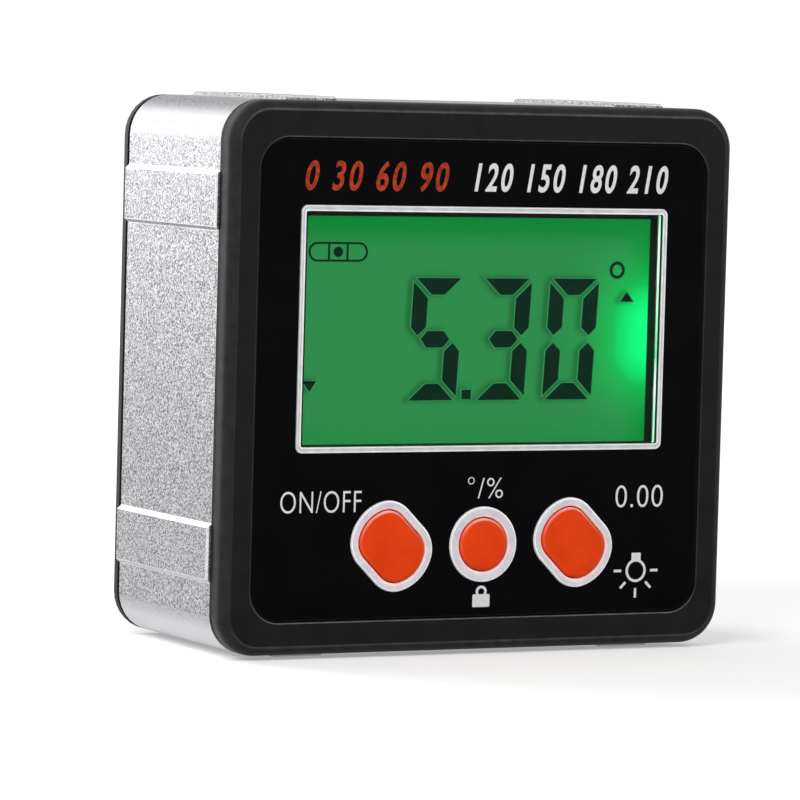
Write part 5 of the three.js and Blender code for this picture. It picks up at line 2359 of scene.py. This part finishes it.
@dataclass
class Studio:
    """The pale floor, the soft lights and the camera."""

    yaw: float = 27.579
    pitch: float = 3.829
    roll: float = 1.578
    lens: float = 234.05
    sensor: float = 36.0
    place: Place = (-0.240777, -0.456127, 0.058436)
    aim: Place = (0.0, 0.0, 0.027)
    clip: Point = (0.01, 100.0)
    floor_size: float = 60.0
    floor_patch: float = 40.0
    floor_shades: tuple[Colour, Colour] = (written(236, 236, 236), written(240, 240, 240))
    floor_lift: Point = (0.3, 0.66)
    floor_near: float = 0.12
    floor_far: float = 0.6
    ambient: float = 0.5
    lamps: tuple[tuple[str, Place, float, float], ...] = (
        ("key_light", (-0.3, -0.22, 0.3), 0.25, 0.9),
        ("fill_light", (0.7, -0.8, 0.35), 0.6, 2.0),
        ("back_light", (-0.5, 0.75, 0.7), 0.6, 4.0),
        ("corner_light", (-0.082, 0.225, 0.145), 0.05, 0.02),
        ("side_light", (-0.14, 0.2, 0.075), 0.09, 0.11),
    )

    def build(self) -> None:
        """Makes floor, lights, world and camera."""
        self.set_camera()
        self.lay_floor()
        self.light_world()
        for lamp in self.lamps:
            self.hang_lamp(*lamp)
        bpy.context.scene.view_settings.view_transform = "Standard"

    def set_camera(self) -> None:
        """Sets the camera as the photograph was taken."""
        yaw, pitch, roll = (math.radians(a) for a in (self.yaw, self.pitch, self.roll))
        flat = math.cos(pitch)
        ahead = Vector((math.sin(yaw) * flat, math.cos(yaw) * flat, -math.sin(pitch)))
        level = Vector((math.cos(yaw), -math.sin(yaw), 0.0))
        upright = level.cross(ahead)
        right = math.cos(roll) * level + math.sin(roll) * upright
        up = -math.sin(roll) * level + math.cos(roll) * upright
        data = bpy.data.cameras.new("camera")
        data.lens = self.lens
        data.sensor_width = self.sensor
        data.clip_start, data.clip_end = self.clip
        camera = added("camera", data)
        turned = Matrix((right, up, -ahead)).transposed().to_4x4()
        camera.matrix_world = Matrix.Translation(self.place) @ turned
        bpy.context.scene.camera = camera

    def lay_floor(self) -> None:
        """Lays a pale floor that keeps the object's shadow."""
        half = self.floor_size / 2
        mesh = bmesh.new()
        corners = ((-half, -half), (half, -half), (half, half), (-half, half))
        mesh.faces.new([mesh.verts.new((x, y, 0.0)) for x, y in corners])
        data = stored(mesh, "floor")
        surface = Surface("pale_floor")
        tone = surface.mix(surface.patchy(self.floor_patch), *self.floor_shades)
        paper = surface.node("ShaderNodeBsdfDiffuse", {"Color": tone})
        away = surface.node("ShaderNodeVectorMath", {0: surface.place}, operation="LENGTH")
        rise = surface.spread(away.outputs["Value"], self.floor_near, self.floor_far, self.floor_lift)
        lift = surface.node("ShaderNodeEmission", {"Strength": surface.times(surface.seen(), rise)})
        both = surface.node("ShaderNodeAddShader", {0: paper.outputs[0], 1: lift.outputs[0]})
        surface.end(both)
        data.materials.append(surface.material)
        floor = added("floor", data)

    def light_world(self) -> None:
        """Sets a white surround whose light on the object stays soft."""
        world = bpy.data.worlds.new("studio")
        world.use_nodes = True
        nodes = Nodes(world.node_tree)
        level = nodes.spread(nodes.seen(), 0.0, 1.0, (self.ambient, 1.0))
        white = {"Color": (1.0, 1.0, 1.0, 1.0), "Strength": level}
        surround = nodes.node("ShaderNodeBackground", white)
        nodes.node("ShaderNodeOutputWorld", {"Surface": surround.outputs[0]})
        bpy.context.scene.world = world

    def hang_lamp(self, name: str, at: Place, size: float, power: float) -> None:
        """Hangs a square soft lamp that faces the middle of the object.

        Args:
            name: The lamp's name.
            at: Where it hangs, in metres.
            size: How wide it is, in metres.
            power: Its power in watts.
        """
        data = bpy.data.lights.new(name, "AREA")
        data.size = size
        data.energy = power
        lamp = added(name, data)
        lamp.location = at
        towards = Vector(self.aim) - Vector(at)
        lamp.rotation_euler = towards.to_track_quat("-Z", "Y").to_euler()
        lamp.visible_camera = False


def main() -> None:
    """Builds the inclinometer and its studio."""
    logging.basicConfig(level=logging.INFO, format="%(message)s")
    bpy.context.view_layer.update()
    Studio().build()
    log.info("studio: floor, lights and camera")
    widths = {"left": 0.86, "middle": 1.04, "right": 0.86}
    buttons = [Button(name, ring_width=width) for name, width in widths.items()]
    window = DisplayWindow()
    holes = [window.trim_shape(PANEL_GAP).outline()]
    holes += [button.shape(PANEL_GAP).outline() for button in buttons]
    openings = [window.opening()] + [button.shape().outline(button.ring_width) for button in buttons]
    CaseSleeve().build()
    log.info("case sleeve: bands and magnets")
    FrontBezel().build(openings)
    log.info("front bezel")
    FacePanel().build(holes)
    log.info("face panel")
    window.build()
    log.info("window: trim line and pane")
    Display().build(DisplayMarks())
    log.info("display: figures, lit guide, films and frame")
    for button in buttons:
        button.build()
        log.info("button: %s", button.name)
    PanelPrint().build()
    log.info("print: angles and signs")
    BackMoulding("rear_cover", "back_cover", HOUSING).build()
    BackMoulding("battery_door", "cell_door", "door").build()
    log.info("rear cover and battery door")
    corners = ("lower_left", "lower_right", "upper_right", "upper_left")
    case_nodes, board_nodes = (tuple(f"{kind}_screw_{c}" for c in corners) for kind in ("case", "board"))
    Screws("case_screws", case_nodes).build(SCREW_STEEL, shaft=1.0, head_height=1.1)
    small = {"head_edge": 0.2, "slot_length": 1.6, "slot_width": 0.4, "slot_depth": 0.45, "seed": 3}
    Screws("board_screws", board_nodes, **small).build(SCREW_STEEL, shaft=0.8, head_height=0.9)
    log.info("screws")
    CircuitBoard().build()
    CellPack().build()
    log.info("board, cells, springs and contacts")


if __name__ == "__main__":
    main()
